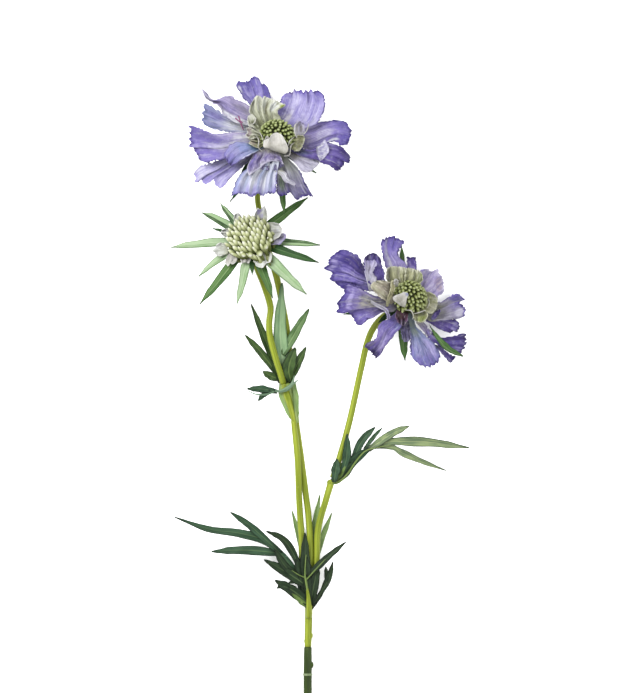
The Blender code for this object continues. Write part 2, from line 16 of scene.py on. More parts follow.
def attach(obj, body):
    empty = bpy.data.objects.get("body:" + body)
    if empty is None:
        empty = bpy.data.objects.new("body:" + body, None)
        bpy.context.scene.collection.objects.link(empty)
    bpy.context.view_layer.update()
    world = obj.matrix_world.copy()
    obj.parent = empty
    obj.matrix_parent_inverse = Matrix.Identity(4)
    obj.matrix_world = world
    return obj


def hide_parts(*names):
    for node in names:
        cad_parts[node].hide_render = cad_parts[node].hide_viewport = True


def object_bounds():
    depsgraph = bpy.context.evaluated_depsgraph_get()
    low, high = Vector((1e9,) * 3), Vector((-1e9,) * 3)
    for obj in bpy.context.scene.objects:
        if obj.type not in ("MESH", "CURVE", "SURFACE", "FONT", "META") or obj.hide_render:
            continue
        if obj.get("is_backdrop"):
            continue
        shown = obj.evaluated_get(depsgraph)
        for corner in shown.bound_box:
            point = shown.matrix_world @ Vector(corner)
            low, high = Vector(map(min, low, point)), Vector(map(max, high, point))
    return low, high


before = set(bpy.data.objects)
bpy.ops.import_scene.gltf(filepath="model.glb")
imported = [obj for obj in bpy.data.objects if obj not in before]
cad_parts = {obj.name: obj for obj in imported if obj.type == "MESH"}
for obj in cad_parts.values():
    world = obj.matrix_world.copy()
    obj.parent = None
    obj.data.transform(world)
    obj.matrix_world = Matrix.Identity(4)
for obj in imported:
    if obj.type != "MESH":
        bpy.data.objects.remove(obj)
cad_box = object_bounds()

MM = 0.001
UP = Vector((0.0, 0.0, 1.0))
GOLDEN_ANGLE = math.pi * (3.0 - math.sqrt(5.0))

# Lowest height of the middle of any sheet, so that nothing sinks into the floor.
LOWEST = 0.4

# The lights turn the floor plain white, so the paints are this much darker than they look.
PAINT_SCALE = 0.36

# Thickness of the sheets.
PETAL_SHEET = 0.28
LEAF_SHEET = 0.45

# Heights along a bloom's axis, and the radius where its petals start.
RING_HEIGHT = {"lower": -2.4, "upper": 0.0, "inner": 1.6}
ROOT_WIDTH = {"lower": 1.7, "upper": 1.7, "inner": 1.3}
PETAL_START = 4.9
CORE_RADIUS = 4.4
CORE_TOP = 2.0
CORE_BOTTOM = -9.0
DOME_FLOOR = 2.6
DOME_RISE = 8.0

# Buds on a bloom's dome, and how far down from the axis they go, in degrees.
BUDS = 118
BUD_SPREAD = 92.0

# Ribs round a stem, and round a core.
RIBS_ROUND = 7.0
CORE_RIBS_ROUND = 12.0

# Faces across and along a blade, and round and along a knob.
BLADE_GRID = (8, 26)
KNOB_GRID = (16, 10)

# Half width along a blade from base to tip, as a share of the widest half width.
LEAF = ((0.0, 0.0), (0.3, 0.7), (0.55, 1.0), (0.8, 0.72), (0.94, 0.32), (1.0, 0.1))
LOBE = ((0.0, 0.7), (0.4, 1.0), (0.75, 0.8), (0.93, 0.38), (1.0, 0.1))
BLUNT = ((0.0, 0.0), (0.4, 0.6), (0.75, 1.0), (1.0, 0.75))
BRACT = ((0.0, 0.7), (0.4, 1.0), (0.75, 0.7), (1.0, 0.1))

# Width along a bud from its foot to its tip, as a share of the widest.
BUD = ((0.0, 0.4), (0.25, 0.75), (0.5, 1.0), (0.72, 0.92), (0.88, 0.62), (1.0, 0.2))

# Heads: centre, and the axis that the head faces along.
TOP_BLOOM = ((-20.0, 121.0, 27.5), (0.08, 0.60, 0.796))
RIGHT_BLOOM = ((39.9, 48.0, 17.5), (0.40, 0.28, 0.873))
SEED_HEAD = ((-33.0, 77.5, 29.0), (-0.15, 0.38, 0.913))

# Bracts under each head: azimuth, reach, half width, height at the tip, paint.
TOP_BRACTS = (
    (-126, 35.0, 0.9, -10.5, "bract_deep"),
    (-82, 33.5, 1.7, -11.5, "bract_fresh"),
    (-30, 22.0, 1.5, -8.0, "bract_fresh"),
    (25, 22.0, 1.5, -7.5, "bract_deep"),
    (85, 22.0, 1.5, -7.5, "bract_fresh"),
    (165, 22.0, 1.5, -8.0, "bract_deep"),
)
RIGHT_BRACTS = (
    (88, 29.5, 1.4, -8.0, "bract_fresh"),
    (-86, 27.0, 2.2, -6.5, "bract_fresh"),
    (196, 30.0, 1.4, -7.0, "bract_deep"),
    (222, 15.0, 1.3, -7.0, "bract_deep"),
    (25, 18.0, 1.5, -6.5, "bract_fresh"),
)
SEED_BRACTS = (
    (181, 36.8, 2.1, -6.0, "bract_pale"),
    (158, 18.6, 1.0, -4.5, "bract_deep"),
    (145, 27.7, 2.0, -6.0, "bract_split"),
    (125, 24.5, 1.4, -6.0, "bract_split"),
    (37, 33.5, 1.9, -6.0, "bract_fresh"),
    (-7, 32.8, 1.7, -6.0, "bract_split"),
    (-21, 34.0, 1.7, -7.0, "bract_deep"),
    (-47, 38.5, 2.5, -6.0, "bract_pale"),
    (-70, 30.8, 1.9, -6.0, "bract_fresh"),
    (-86, 17.4, 1.2, -5.0, "bract_deep"),
    (-101, 31.9, 1.7, -6.0, "bract_pale"),
    (-128, 37.9, 2.2, -6.0, "bract_fresh"),
    (-146, 28.9, 1.7, -6.0, "bract_pale"),
)

# Pods that stand round the seed head's dome: x and y from the centre, and size.
SEED_PODS = ((7.9, -4.9, 1.35), (5.3, -7.9, 1.5), (1.0, -8.4, 1.2), (10.2, -1.8, 1.1), (-1.9, -8.5, 1.2))

# Petal paints: colour at the base, middle, tip and rim, colour of the streaks and how strong they are.
# The greyer base colour is partly the petals' own grey-green and partly painted shade round the dome.
PETAL_LOOKS = {
    "violet": ("#8f8aa6", "#9a90c6", "#948ac8", "#665ba8", "#6259a0", 0.85),
    "lilac": ("#83808e", "#b3aed2", "#b3abdf", "#6c5eb0", "#7a70b6", 0.75),
    "iris": ("#6f6888", "#b8aed6", "#8a7cc6", "#56489a", "#7a6fae", 0.80),
    "royal": ("#70708a", "#8777bb", "#7464ac", "#3f3270", "#4a3a88", 0.85),
    # moss: the grey-green of its middle is partly painted shade on the petal's hanging inner side.
    "moss": ("#a2a695", "#a8aca4", "#948db0", "#64559f", "#77778c", 0.70),
    # snow: its blue-grey streaks are painted shade in its folds.
    "snow": ("#b9bbb8", "#dcdfe8", "#d6d6ee", "#9288cc", "#98a0bc", 0.60),
    # powder: its violet streaks are painted shade.
    "powder": ("#a0a4ba", "#c3bfe2", "#c6c0ea", "#a79ed8", "#8e86c8", 0.70),
    "plum": ("#cfc8cc", "#b8b0cc", "#958bc4", "#7468b0", "#7468b0", 0.70),
    "frost": ("#cfd0d4", "#e0e1ea", "#a3a6c8", "#6e78a8", "#9a98cc", 0.55),
    "mauve": ("#c4bcc8", "#b2a8c8", "#aca0cc", "#d2cce4", "#71689c", 0.75),
    "pale": ("#b2b1a4", "#ccc9d4", "#cdc9df", "#e2dfee", "#918ca8", 0.60),
    "striped": ("#77748e", "#8f8bb0", "#9a94c0", "#c8c4e0", "#eceaf4", 0.95),
    "dusk": ("#a6a498", "#a9a2b8", "#9e92bc", "#d8d4e4", "#675d8c", 0.75),
    "smoky": ("#55526a", "#645f80", "#6e688e", "#8a84b0", "#3c3a50", 0.70),
    "cream": ("#979c74", "#c3c6a8", "#d6d8c4", "#e6e7dc", "#999e78", 0.45),
    "khaki": ("#7c8456", "#a9aa80", "#bcbc98", "#d6d6be", "#7c8254", 0.50),
    "ivory": ("#9c9b8e", "#d2cfc6", "#dcd9d3", "#eceae6", "#aaa79a", 0.35),
    "lagoon": ("#8fa3a8", "#93a0c8", "#a09cce", "#8074bc", "#7480b0", 0.60),
    "sage": ("#9b9c88", "#a9a89a", "#a69fc0", "#7d6ebe", "#7b7988", 0.60),
    "grape": ("#7a7098", "#8f83c4", "#9a8ac0", "#4a3f70", "#584c98", 0.85),
    "streaked": ("#a19e98", "#9c93b2", "#8b7eba", "#564795", "#584c8a", 0.85),
    "banner": ("#b4afcb", "#a095cf", "#8477bd", "#4e4090", "#3a2e7c", 0.95),
    "shadow": ("#7a7099", "#7869b4", "#7263b0", "#3c325a", "#3f3572", 0.80),
    "veil": ("#b4b2b8", "#d6d3e2", "#d2cde6", "#b2a9d8", "#9a94b0", 0.55),
    "bisque": ("#8a866c", "#bfb6a2", "#cac0b2", "#dedac2", "#948d72", 0.60),
    "butter": ("#9a9878", "#c6c29c", "#d2cda0", "#e0dcb8", "#a09c76", 0.50),
    "maroon": ("#3a2a26", "#5a3a48", "#74506c", "#8a7498", "#2c1c1a", 0.70),
    "petal_back": ("#8f8ca2", "#a39dc0", "#a198c8", "#9086c4", "#7b72aa", 0.60),
    "cream_back": ("#8c9070", "#aeb096", "#bcbda8", "#cdcebc", "#888d66", 0.60),
    "ghost": ("#bcc0a4", "#dfe2d4", "#eceeea", "#f4f5f2", "#adb09a", 0.50),
    "ivory_rim": ("#c6c4ba", "#e2e0d8", "#dcdad2", "#eceae6", "#b4b2a6", 0.40),
    "lilac_rim": ("#b4b0c8", "#d6d2ea", "#cfcae6", "#e4e0f2", "#a49ec0", 0.40),
}

# Petals with a broken dark line along their outer edge, and its colour.
DARK_EDGED = ("violet", "lilac", "iris", "royal", "moss", "plum", "grape", "streaked", "banner", "shadow",
              "lagoon", "sage", "snow")
EDGE_LINE = "#3a2f66"

# Streaks of a petal: how many lie across it, where they set in, and their share of the strength.
STREAKS = ((4, 0.54, 0.5), (9, 0.53, 0.6), (17, 0.53, 0.6), (32, 0.53, 0.5))
GLEAM = "#e6e4ee"
# Colour of the painted highlight between a petal's dents.
DENT_HIGHLIGHT = "#ecebf2"

# Colours of the soft spots on single petals; where a spot is painted shade or highlight, the petal's row says
# so.
SPOTS = {
    "white": "#eef0f4", "pale": "#dcd9ea", "lilac": "#b6acdf", "violet": "#8376c0", "deep": "#6257a6",
    "dark": "#584e86", "night": "#43366f", "ink": "#34304e", "smoke": "#6e687e", "grey": "#8a8794",
    "mist": "#a9b4d2", "sky": "#96a0d7", "steel": "#7b88b0", "slate": "#5c6480", "teal": "#5c7f94",
    "rust": "#84657e", "blush": "#b4a0a8", "bone": "#a9a698", "bark": "#5a5238", "olive": "#838758",
    "moss": "#8c9668", "sage": "#9ba898", "leaf": "#7f966e", "lime": "#96a83c", "forest": "#36401f",
}

# Leaf and bract paints: blade, second tone, midrib, edge, strength of the mottling and of one lighter half.
LEAF_LOOKS = {
    "leaf_dark": ("#26402a", "#46674b", "#718e5c", "#1b2f1e", 0.7, 0.35),
    "leaf_olive": ("#2a421f", "#526e36", "#8aa05a", "#1f2e18", 0.7, 0.35),
    "leaf_deep": ("#182a17", "#33482c", "#6b8350", "#0e1a0e", 0.75, 0.35),
    "leaf_foot": ("#46602f", "#7f9a4f", "#a3b568", "#2a3f20", 0.75, 0.4),
    "leaf_long": ("#5c7257", "#a4b57c", "#c2cd92", "#33423a", 0.75, 0.15),
    "leaf_fresh": ("#4a6b3a", "#7b9a66", "#a3bb80", "#3a5a2c", 0.7, 0.5),
    "leaf_grey": ("#6f9268", "#9dbc8c", "#bcd2a4", "#587a50", 0.7, 0.5),
    "leaf_back": ("#7fa05a", "#a3c07c", "#c6d69a", "#6d8c4c", 0.6, 0.4),
    "bract_pale": ("#8dad7b", "#bad0a9", "#cbdcb8", "#5f7d50", 0.6, 0.6),
    "bract_fresh": ("#3d642b", "#66894e", "#a3bd84", "#3a5c2c", 0.6, 0.7),
    "bract_deep": ("#274722", "#3f6633", "#7b9b64", "#2b4a24", 0.6, 0.6),
    "bract_split": ("#2f5027", "#a4c190", "#b8d0a4", "#3f6238", 0.4, 1.0),
}

# Stem paints: dark and light green of the streaks, and the specks.
STEM_LOOKS = {
    "stem_green": ("#7c8c20", "#aebb40", "#c4cc70"),
    "stem_light": ("#839c4c", "#a9bf74", "#c6d498"),
    "sleeve_green": ("#2c3d16", "#465a24", "#5e7036"),
    "ring_green": ("#76895e", "#9fae86", "#bcc8a8"),
    # The next look is a near-black green, painted shade for the gap under a bloom's dome and petals.
    "gap_green": ("#1e2610", "#333d1a", "#4a5526"),
    "rib_green": ("#5f7a38", "#93a860", "#b6c08c"),
    "strand_green": ("#55735a", "#8aa586", "#b0c4aa"),
    "stamen_pink": ("#7a4067", "#975b83", "#5e2e53"),
}

# Bud paints: painted shade between the buds, their sides, and their tops, whose lighter colour is partly
# painted highlight.
BUD_LOOKS = {
    "bud_paint": ("#2a3010", "#7a8744", "#b8c28a"),
    "right_bud_paint": ("#3c431d", "#87914f", "#b9c28e"),
    "floret_paint": ("#5a622c", "#c0c692", "#eff0dc"),
}


# ---------------------------------------------------------------- numbers and lines


def ease(t):
    """Smooth step from 0 to 1, held at its ends."""
    t = min(1.0, max(0.0, t))
    return t * t * (3.0 - 2.0 * t)


def share(form, v):
    """Value of a form at v, eased between its stations."""
    for (v0, w0), (v1, w1) in zip(form, form[1:]):
        if v <= v1:
            return w0 + (w1 - w0) * ease((v - v0) / (v1 - v0))
    return form[-1][1]


def smooth(values, v):
    """Catmull-Rom curve through evenly spaced numbers or vectors."""
    line = [values[0] * 2.0 - values[1]] + list(values) + [values[-1] * 2.0 - values[-2]]
    spans = len(values) - 1
    span = min(int(v * spans), spans - 1)
    t = v * spans - span
    p0, p1, p2, p3 = line[span:span + 4]
    square = (p0 * 2.0 - p1 * 5.0 + p2 * 4.0 - p3) * (t * t)
    cube = (p1 * 3.0 - p0 - p2 * 3.0 + p3) * (t * t * t)
    return (p1 * 2.0 + (p2 - p0) * t + square + cube) * 0.5


def heading(values, v, reach=0.02):
    """Direction of the curve through vectors."""
    return (smooth(values, min(1.0, v + reach)) - smooth(values, max(0.0, v - reach))).normalized()


def wobble(x, y, seed, size):
    """Smooth noise between about -1 and 1."""
    return noise.noise(Vector((x / size, y / size, seed * 7.31)))


def pairs(numbers):
    """Points in plan from x, y, x, y and so on."""
    return [Vector((x, y, 0.0)) for x, y in zip(numbers[::2], numbers[1::2])]


class Line:
    """Smooth curve through points in plan, walked evenly by its length."""

    def __init__(self, knots):
        steps = 8 * (len(knots) - 1)
        self.spots = [smooth(knots, step / steps) for step in range(steps + 1)]
        self.marks = [0.0]
        for first, second in zip(self.spots, self.spots[1:]):
            self.marks.append(self.marks[-1] + (second - first).length)

    def at(self, part):
        """Point at a share of the curve's length."""
        goal = part * self.marks[-1]
        high = min(max(1, bisect.bisect_left(self.marks, goal)), len(self.marks) - 1)
        gap = self.marks[high] - self.marks[high - 1]
        rest = (goal - self.marks[high - 1]) / gap if gap else 0.0
        return self.spots[high - 1].lerp(self.spots[high], rest)


class Head:
    """Flower head with local Z along its axis."""

    def __init__(self, centre, axis):
        self.centre = Vector(centre)
        self.axis = Vector(axis).normalized()
        across = Vector((1.0, 0.0, 0.0))
        self.side = (across - self.axis * across.dot(self.axis)).normalized()
        self.up = self.axis.cross(self.side)

    def at(self, azimuth, radius, height):
        """Point at an azimuth in degrees, a distance from the axis and a height along it."""
        turn = math.radians(azimuth)
        flat = self.side * (radius * math.cos(turn)) + self.up * (radius * math.sin(turn))
        return self.centre + flat + self.axis * height

    def seen(self, x, y, height):
        """Point seen from above at x, y from the centre, at a height along the axis."""
        lift = (height - self.axis.x * x - self.axis.y * y) / self.axis.z
        return Vector((self.centre.x + x, self.centre.y + y, max(LOWEST, self.centre.z + lift)))

    def plan(self, point):
        """Where a point is seen from above, measured from the centre."""
        away = point - self.centre
        return Vector((away.x, away.y, 0.0))


# ---------------------------------------------------------------- paints


def tone(code, scale=PAINT_SCALE):
    """Linear colour from a display colour such as #a0b0c0, darkened to suit the bright lights."""
    parts = [int(code[i:i + 2], 16) / 255.0 for i in (1, 3, 5)]
    linear = [p / 12.92 if p <= 0.04045 else ((p + 0.055) / 1.055) ** 2.4 for p in parts]
    return (*(scale * part for part in linear), 1.0)


class Paint:
    """Principled material whose colour and bump are built from nodes."""

    def __init__(self, name, roughness):
        self.material = bpy.data.materials.new(name)
        self.material.use_nodes = True
        self.tree = self.material.node_tree
        self.shader = self.tree.nodes["Principled BSDF"]
        self.shader.inputs["Roughness"].default_value = roughness
        self.shader.inputs["Specular IOR Level"].default_value = 0.1
        places = self.node("ShaderNodeTexCoord", {}).outputs
        parts = self.node("ShaderNodeSeparateXYZ", {"Vector": places["UV"]}).outputs
        self.place = places["Object"]
        self.uv, self.across, self.along = places["UV"], parts["X"], parts["Y"]

    def put(self, socket, value):
        """Link an output to a socket, or set its value."""
        if isinstance(value, bpy.types.NodeSocket):
            self.tree.links.new(value, socket)
        else:
            socket.default_value = value

    def node(self, kind, inputs, **settings):
        """New node with its settings and inputs."""
        made = self.tree.nodes.new(kind)
        for key, value in settings.items():
            setattr(made, key, value)
        for place, value in inputs.items():
            self.put(made.inputs[place], value)
        return made

    def math(self, operation, a, b=0.0):
        """Result of a math node."""
        return self.node("ShaderNodeMath", {0: a, 1: b}, operation=operation).outputs[0]

    def plus(self, a, b):
        """Sum of two values."""
        return self.math("ADD", a, b)

    def minus(self, a, b):
        """First value less the second."""
        return self.math("SUBTRACT", a, b)

    def times(self, a, b):
        """Product of two values."""
        return self.math("MULTIPLY", a, b)

    def step(self, value, low, high):
        """Smooth step from 0 at low to 1 at high."""
        inputs = {"Value": value, "From Min": low, "From Max": high}
        return self.node("ShaderNodeMapRange", inputs, interpolation_type="SMOOTHSTEP").outputs["Result"]

    def mix(self, amount, a, b):
        """Colour between a and b."""
        return self.node("ShaderNodeMix", {0: amount, 6: a, 7: b}, data_type="RGBA").outputs[2]

    def over(self, colour, mask, amount, top):
        """Colour with a part of another over it where the mask is."""
        return self.mix(self.times(mask, amount), colour, top)

    def ramp(self, value, stops):
        """Colour ramp from pairs of place and colour code."""
        made = self.node("ShaderNodeValToRGB", {"Fac": value})
        steps = made.color_ramp.elements
        while len(steps) < len(stops):
            steps.new(1.0)
        for step, (place, code) in zip(steps, stops):
            step.position = place
            step.color = tone(code)
        return made.outputs["Color"]

    def noise(self, vector, stretch, seed, detail=3.0, bend=0.0):
        """Noise on a stretched and shifted vector, with its forms bent."""
        inputs = {"Vector": vector, "Scale": stretch, "Location": (seed * 3.7, seed * 1.9, seed * 5.3)}
        placed = self.node("ShaderNodeMapping", inputs).outputs["Vector"]
        inputs = {"Vector": placed, "Scale": 1.0, "Detail": detail, "Roughness": 0.55, "Distortion": bend}
        return self.node("ShaderNodeTexNoise", inputs).outputs["Fac"]

    def sheet_noise(self, across, along, seed, detail=3.0, bend=0.0):
        """Noise laid out across and along a sheet."""
        return self.noise(self.uv, (across, along, 1.0), seed, detail, bend)

    def off_centre(self):
        """Distance from the middle line of a sheet, up to half."""
        return self.math("ABSOLUTE", self.minus(self.across, 0.5))

    def spot(self, colour, blur, u, v, wide, long, code, amount, lean=0):
        """Colour with a soft-edged oval spot in it: its place, size, colour, strength and lean in degrees."""
        aside = self.minus(self.across, u)
        ahead = self.minus(self.along, v)
        slope = math.tan(math.radians(lean)) * wide / long
        aside = self.math("DIVIDE", self.plus(aside, self.times(ahead, slope)), wide)
        ahead = self.math("DIVIDE", ahead, long)
        squares = self.plus(self.times(aside, aside), self.times(ahead, ahead))
        reach = self.plus(self.math("SQRT", squares), blur)
        mask = self.minus(1.0, self.step(reach, 0.45, 1.15))
        return self.over(colour, mask, amount, tone(SPOTS[code]))

    def finish(self, colour, height=None, strength=0.3, distance=0.0004):
        """Feed the colour, and a bump if there is one, to the shader."""
        self.put(self.shader.inputs["Base Color"], colour)
        if height is not None:
            inputs = {"Height": height, "Strength": strength, "Distance": distance}
            normal = self.node("ShaderNodeBump", inputs).outputs["Normal"]
            self.put(self.shader.inputs["Normal"], normal)
        return self.material


def petal_paint(name, look, seed, spots=()):
    """Petal: colours from base to tip, soft spots, streaks that fan from the base, painted shade and
    highlight over its dents, and a tinted rim.
    """
    base, middle, tip, rim, streak, strength = PETAL_LOOKS[look]
    paint = Paint(name, 0.62)
    along = paint.along
    drift = paint.times(paint.minus(paint.sheet_noise(3.0, 2.0, seed), 0.5), 0.5)
    colour = paint.ramp(paint.plus(along, drift), ((0.05, base), (0.36, middle), (0.78, tip), (1.0, rim)))
    blur = paint.minus(paint.sheet_noise(9.0, 6.0, seed + 1.0), 0.5)
    for spot in spots:
        colour = paint.spot(colour, blur, *spot)
    held = paint.times(paint.step(along, 0.04, 0.3), strength)
    for lines, low, part in STREAKS:
        mask = paint.step(paint.sheet_noise(lines, 1.7, seed + lines, 3.0, 0.35), low, low + 0.09)
        colour = paint.over(colour, mask, paint.times(held, part), tone(streak))
    gleam = paint.step(paint.sheet_noise(13.0, 2.2, seed + 7.0, 3.0, 0.35), 0.56, 0.7)
    colour = paint.over(colour, gleam, 0.28, tone(GLEAM))
    dents = paint.noise(paint.place, (430.0, 430.0, 430.0), seed)
    # Painted shade in the dents of the crinkled sheet, and a painted highlight between them; the same noise
    # also raises the bump below.
    colour = paint.over(colour, paint.step(dents, 0.52, 0.72), 0.4, tone(streak))
    colour = paint.over(colour, paint.step(dents, 0.48, 0.3), 0.12, tone(DENT_HIGHLIGHT))
    off_centre = paint.off_centre()
    side_rim = paint.step(paint.plus(off_centre, paint.times(drift, 0.15)), 0.455, 0.5)
    side_rim = paint.times(side_rim, paint.step(along, 0.35, 0.7))
    tip_rim = paint.step(paint.plus(along, paint.times(drift, 0.25)), 0.945, 1.0)
    colour = paint.over(colour, paint.math("MAXIMUM", side_rim, tip_rim), 0.8, tone(rim))
    if look in DARK_EDGED:
        line = paint.math("MAXIMUM", paint.step(along, 0.945, 0.975), paint.step(off_centre, 0.465, 0.485))
        line = paint.times(line, paint.step(paint.sheet_noise(22.0, 14.0, seed + 9.0), 0.42, 0.58))
        line = paint.times(line, paint.step(along, 0.4, 0.6))
        colour = paint.over(colour, line, 0.75, tone(EDGE_LINE))
    veins = paint.sheet_noise(40.0, 2.5, seed + 6.0, 2.0)
    crinkles = paint.sheet_noise(15.0, 3.5, seed + 8.0, 3.0, 0.5)
    height = paint.plus(veins, paint.times(dents, 1.6))
    return paint.finish(colour, paint.plus(height, paint.times(crinkles, 1.2)), 0.6, 0.0009)


def leaf_paint(look):
    """Leaf or bract: mottled blade, paler midrib and edge, darker tip, painted shade at its base, and slanted
    side veins.
    """
    blade, second, midrib, rim, strength, half = LEAF_LOOKS[look]
    paint = Paint(look, 0.5)
    along = paint.along
    mottle = paint.step(paint.sheet_noise(5.0, 7.0, 1.0), 0.35, 0.7)
    colour = paint.over(tone(blade), mottle, strength, tone(second))
    lines = paint.step(paint.sheet_noise(26.0, 1.6, 2.0), 0.5, 0.7)
    colour = paint.over(colour, lines, 0.35, tone(second))
    colour = paint.over(colour, paint.step(paint.across, 0.47, 0.55), half, tone(second))
    off_centre = paint.off_centre()
    rib = paint.minus(1.0, paint.step(off_centre, 0.02, 0.075))
    rib = paint.times(rib, paint.minus(0.7, paint.times(along, 0.6)))
    colour = paint.mix(rib, colour, tone(midrib))
    colour = paint.over(colour, paint.step(off_centre, 0.36, 0.49), 0.8, tone(rim))
    # Darker tips, and painted shade at the base of each blade.
    ends = paint.math("MAXIMUM", paint.step(along, 0.86, 1.0), paint.step(along, 0.24, 0.0))
    colour = paint.over(colour, ends, 0.6, tone(rim, PAINT_SCALE * 0.55))
    slant = paint.plus(paint.times(along, 150.0), paint.times(off_centre, -60.0))
    return paint.finish(colour, paint.plus(paint.times(paint.math("SINE", slant), 0.25), rib))


def stem_paint(look):
    """Stem: two greens in long streaks with a few fine specks."""
    dark, light, speck = STEM_LOOKS[look]
    paint = Paint(look, 0.42)
    streaks = paint.step(paint.sheet_noise(9.0, 2.2, 1.0), 0.3, 0.72)
    specks = paint.step(paint.noise(paint.place, (2200.0, 900.0, 2200.0), 2.0, 1.0), 0.68, 0.8)
    colour = paint.over(paint.mix(streaks, tone(dark), tone(light)), specks, 0.45, tone(speck))
    return paint.finish(colour, paint.sheet_noise(42.0, 1.5, 5.0, 2.0), 0.35, 0.0003)


def bud_paint(look):
    """Bud or floret: dark where it is rooted, as painted shade between the buds, and lighter towards its
    round end, partly its own colour and partly painted highlight.
    """
    gap, side, top = BUD_LOOKS[look]
    paint = Paint(look, 0.55)
    patches = paint.minus(paint.noise(paint.place, (420.0, 420.0, 420.0), 3.0), 0.5)
    level = paint.plus(paint.along, paint.times(patches, 0.55))
    # Painted shade at the foot, the bud's own colour on its side, and a top that is partly painted highlight.
    colour = paint.ramp(level, ((0.25, gap), (0.6, side), (0.95, top)))
    return paint.finish(colour, paint.noise(paint.place, (2600.0, 2600.0, 2600.0), 4.0), 0.3, 0.0003)


def floor_paint():
    """Pale matt floor with a hardly visible grain."""
    paint = Paint("floor_paint", 0.9)
    grain = paint.noise(paint.place, (40.0, 40.0, 40.0), 1.0)
    return paint.finish(paint.mix(grain, tone("#f4f4f4", 1.0), tone("#f8f8f8", 1.0)))


def paint_of(look):
    """Paint by its name, made when it is first asked for."""
    made = bpy.data.materials.get(look)
    if made:
        return made
    for looks, maker in ((LEAF_LOOKS, leaf_paint), (STEM_LOOKS, stem_paint), (BUD_LOOKS, bud_paint)):
        if look in looks:
            return maker(look)
    return petal_paint(look, look, 0.5)


# ---------------------------------------------------------------- meshes


class Shape:
    """Points, faces and UVs gathered into one mesh."""

    def __init__(self):
        self.points = []
        self.faces = []
        self.corners = []
        self.paints = []

    def grid(self, point_at, across, along, wrap=False, paint=0):
        """Grid of points from a function of two shares; wrap closes it round its first direction."""
        start = len(self.points)
        columns = across if wrap else across + 1
        for row in range(along + 1):
            for column in range(columns):
                self.points.append(point_at(column / across, row / along))
        for row in range(along):
            for column in range(across):
                beside = (column + 1) % columns
                low = start + row * columns
                high = low + columns
                self.faces.append((low + column, low + beside, high + beside, high + column))
                u0, u1 = column / across, (column + 1) / across
                v0, v1 = row / along, (row + 1) / along
                self.corners.extend(((u0, v0), (u1, v0), (u1, v1), (u0, v1)))
                self.paints.append(paint)
        return start

    def cap(self, first, count, centre, v, flip, paint):
        """Fan from a ring of points to a new centre point."""
        ring = list(range(first, first + count))
        hub = len(self.points)
        self.points.append(centre)
        for one, other in zip(ring, ring[1:] + ring[:1]):
            self.faces.append((other, one, hub) if flip else (one, other, hub))
            self.corners.extend(((0.0, v), (0.0, v), (0.0, v)))
            self.paints.append(paint)

    def solid(self, point_at, sides, rings, first_end, last_end, paint=0):
        """Closed round form: a wrapped grid with a fan at each end."""
        start = self.grid(point_at, sides, rings, True, paint)
        self.cap(start, sides, first_end, 0.0, True, paint)
        self.cap(start + rings * sides, sides, last_end, 1.0, False, paint)

    def make(self, name, looks, slot, sheet=0.0, backed=False, node=""):
        """Piece of the scene, which rides on the spray and stands for its CAD node if it has one."""
        data = bpy.data.meshes.new(name)
        data.from_pydata([point * MM for point in self.points], [], self.faces)
        layer = data.uv_layers.new(name="UVMap")
        layer.data.foreach_set("uv", [number for corner in self.corners for number in corner])
        data.polygons.foreach_set("material_index", self.paints)
        data.shade_smooth()
        for look in looks:
            data.materials.append(paint_of(look))
        item = bpy.data.objects.new(name, data)
        bpy.context.scene.collection.objects.link(item)
        if sheet:
            solid = item.modifiers.new("sheet", "SOLIDIFY")
            solid.thickness = sheet * MM
            solid.offset = 0.0
            solid.material_offset = 1 if backed else 0
            solid.material_offset_rim = 0
        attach(item, "root")
        node = node or name
        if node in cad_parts:
            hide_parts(node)
        return item


def add_tube(shape, knots, sides=18, step=1.2, ribs=0.02, paint=0):
    """Round tube through knots of x, y, z and radius, with fine ribs and rounded closed ends."""
    centres = [Vector(knot[:3]) for knot in knots]
    radii = [knot[3] for knot in knots]
    length = sum((b - a).length for a, b in zip(centres, centres[1:]))
    rings = max(6, int(length / step))
    side = heading(centres, 0.0).orthogonal()
    frames = []
    for ring in range(rings + 1):
        v = ring / rings
        forward = heading(centres, v)
        side = (side - forward * side.dot(forward)).normalized()
        frames.append((smooth(centres, v), side.copy(), forward.cross(side), smooth(radii, v)))

    def point_at(around, v):
        centre, first, second, radius = frames[round(v * rings)]
        turn = math.tau * around
        uneven = 0.02 * wobble(around * 6.0, v * length, 3.0, 4.0)
        size = radius * (1.0 + ribs * math.cos(RIBS_ROUND * turn) + uneven)
        return centre + (first * math.cos(turn) + second * math.sin(turn)) * size

    first_end = centres[0] - heading(centres, 0.0) * (radii[0] * 0.25)
    last_end = centres[-1] + heading(centres, 1.0) * (radii[-1] * 0.25)
    shape.solid(point_at, sides, rings, first_end, last_end, paint)


def add_knob(shape, centre, size):
    """Ellipsoid, as a collar or nub."""
    centre = Vector(centre)

    def point_at(around, v):
        turn = math.tau * around
        tilt = math.pi * (0.04 + 0.92 * v)
        spot = (math.sin(tilt) * math.cos(turn) * size[0], math.sin(tilt) * math.sin(turn) * size[1],
                -math.cos(tilt) * size[2])
        return centre + Vector(spot)

    shape.solid(point_at, *KNOB_GRID, centre - UP * size[2], centre + UP * size[2])


def add_lathe(shape, head, profile, sides=36, ribs=0.0, paint=0):
    """Solid turned about a head's axis from pairs of radius and height, closed at both ends."""
    rows = len(profile) - 1

    def point_at(around, v):
        radius, height = profile[round(v * rows)]
        radius *= 1.0 + ribs * math.cos(CORE_RIBS_ROUND * math.tau * around)
        return head.at(360.0 * around, radius, height)

    ends = [head.at(0.0, 0.0, height) for height in (profile[0][1], profile[-1][1])]
    shape.solid(point_at, sides, rows, *ends, paint)


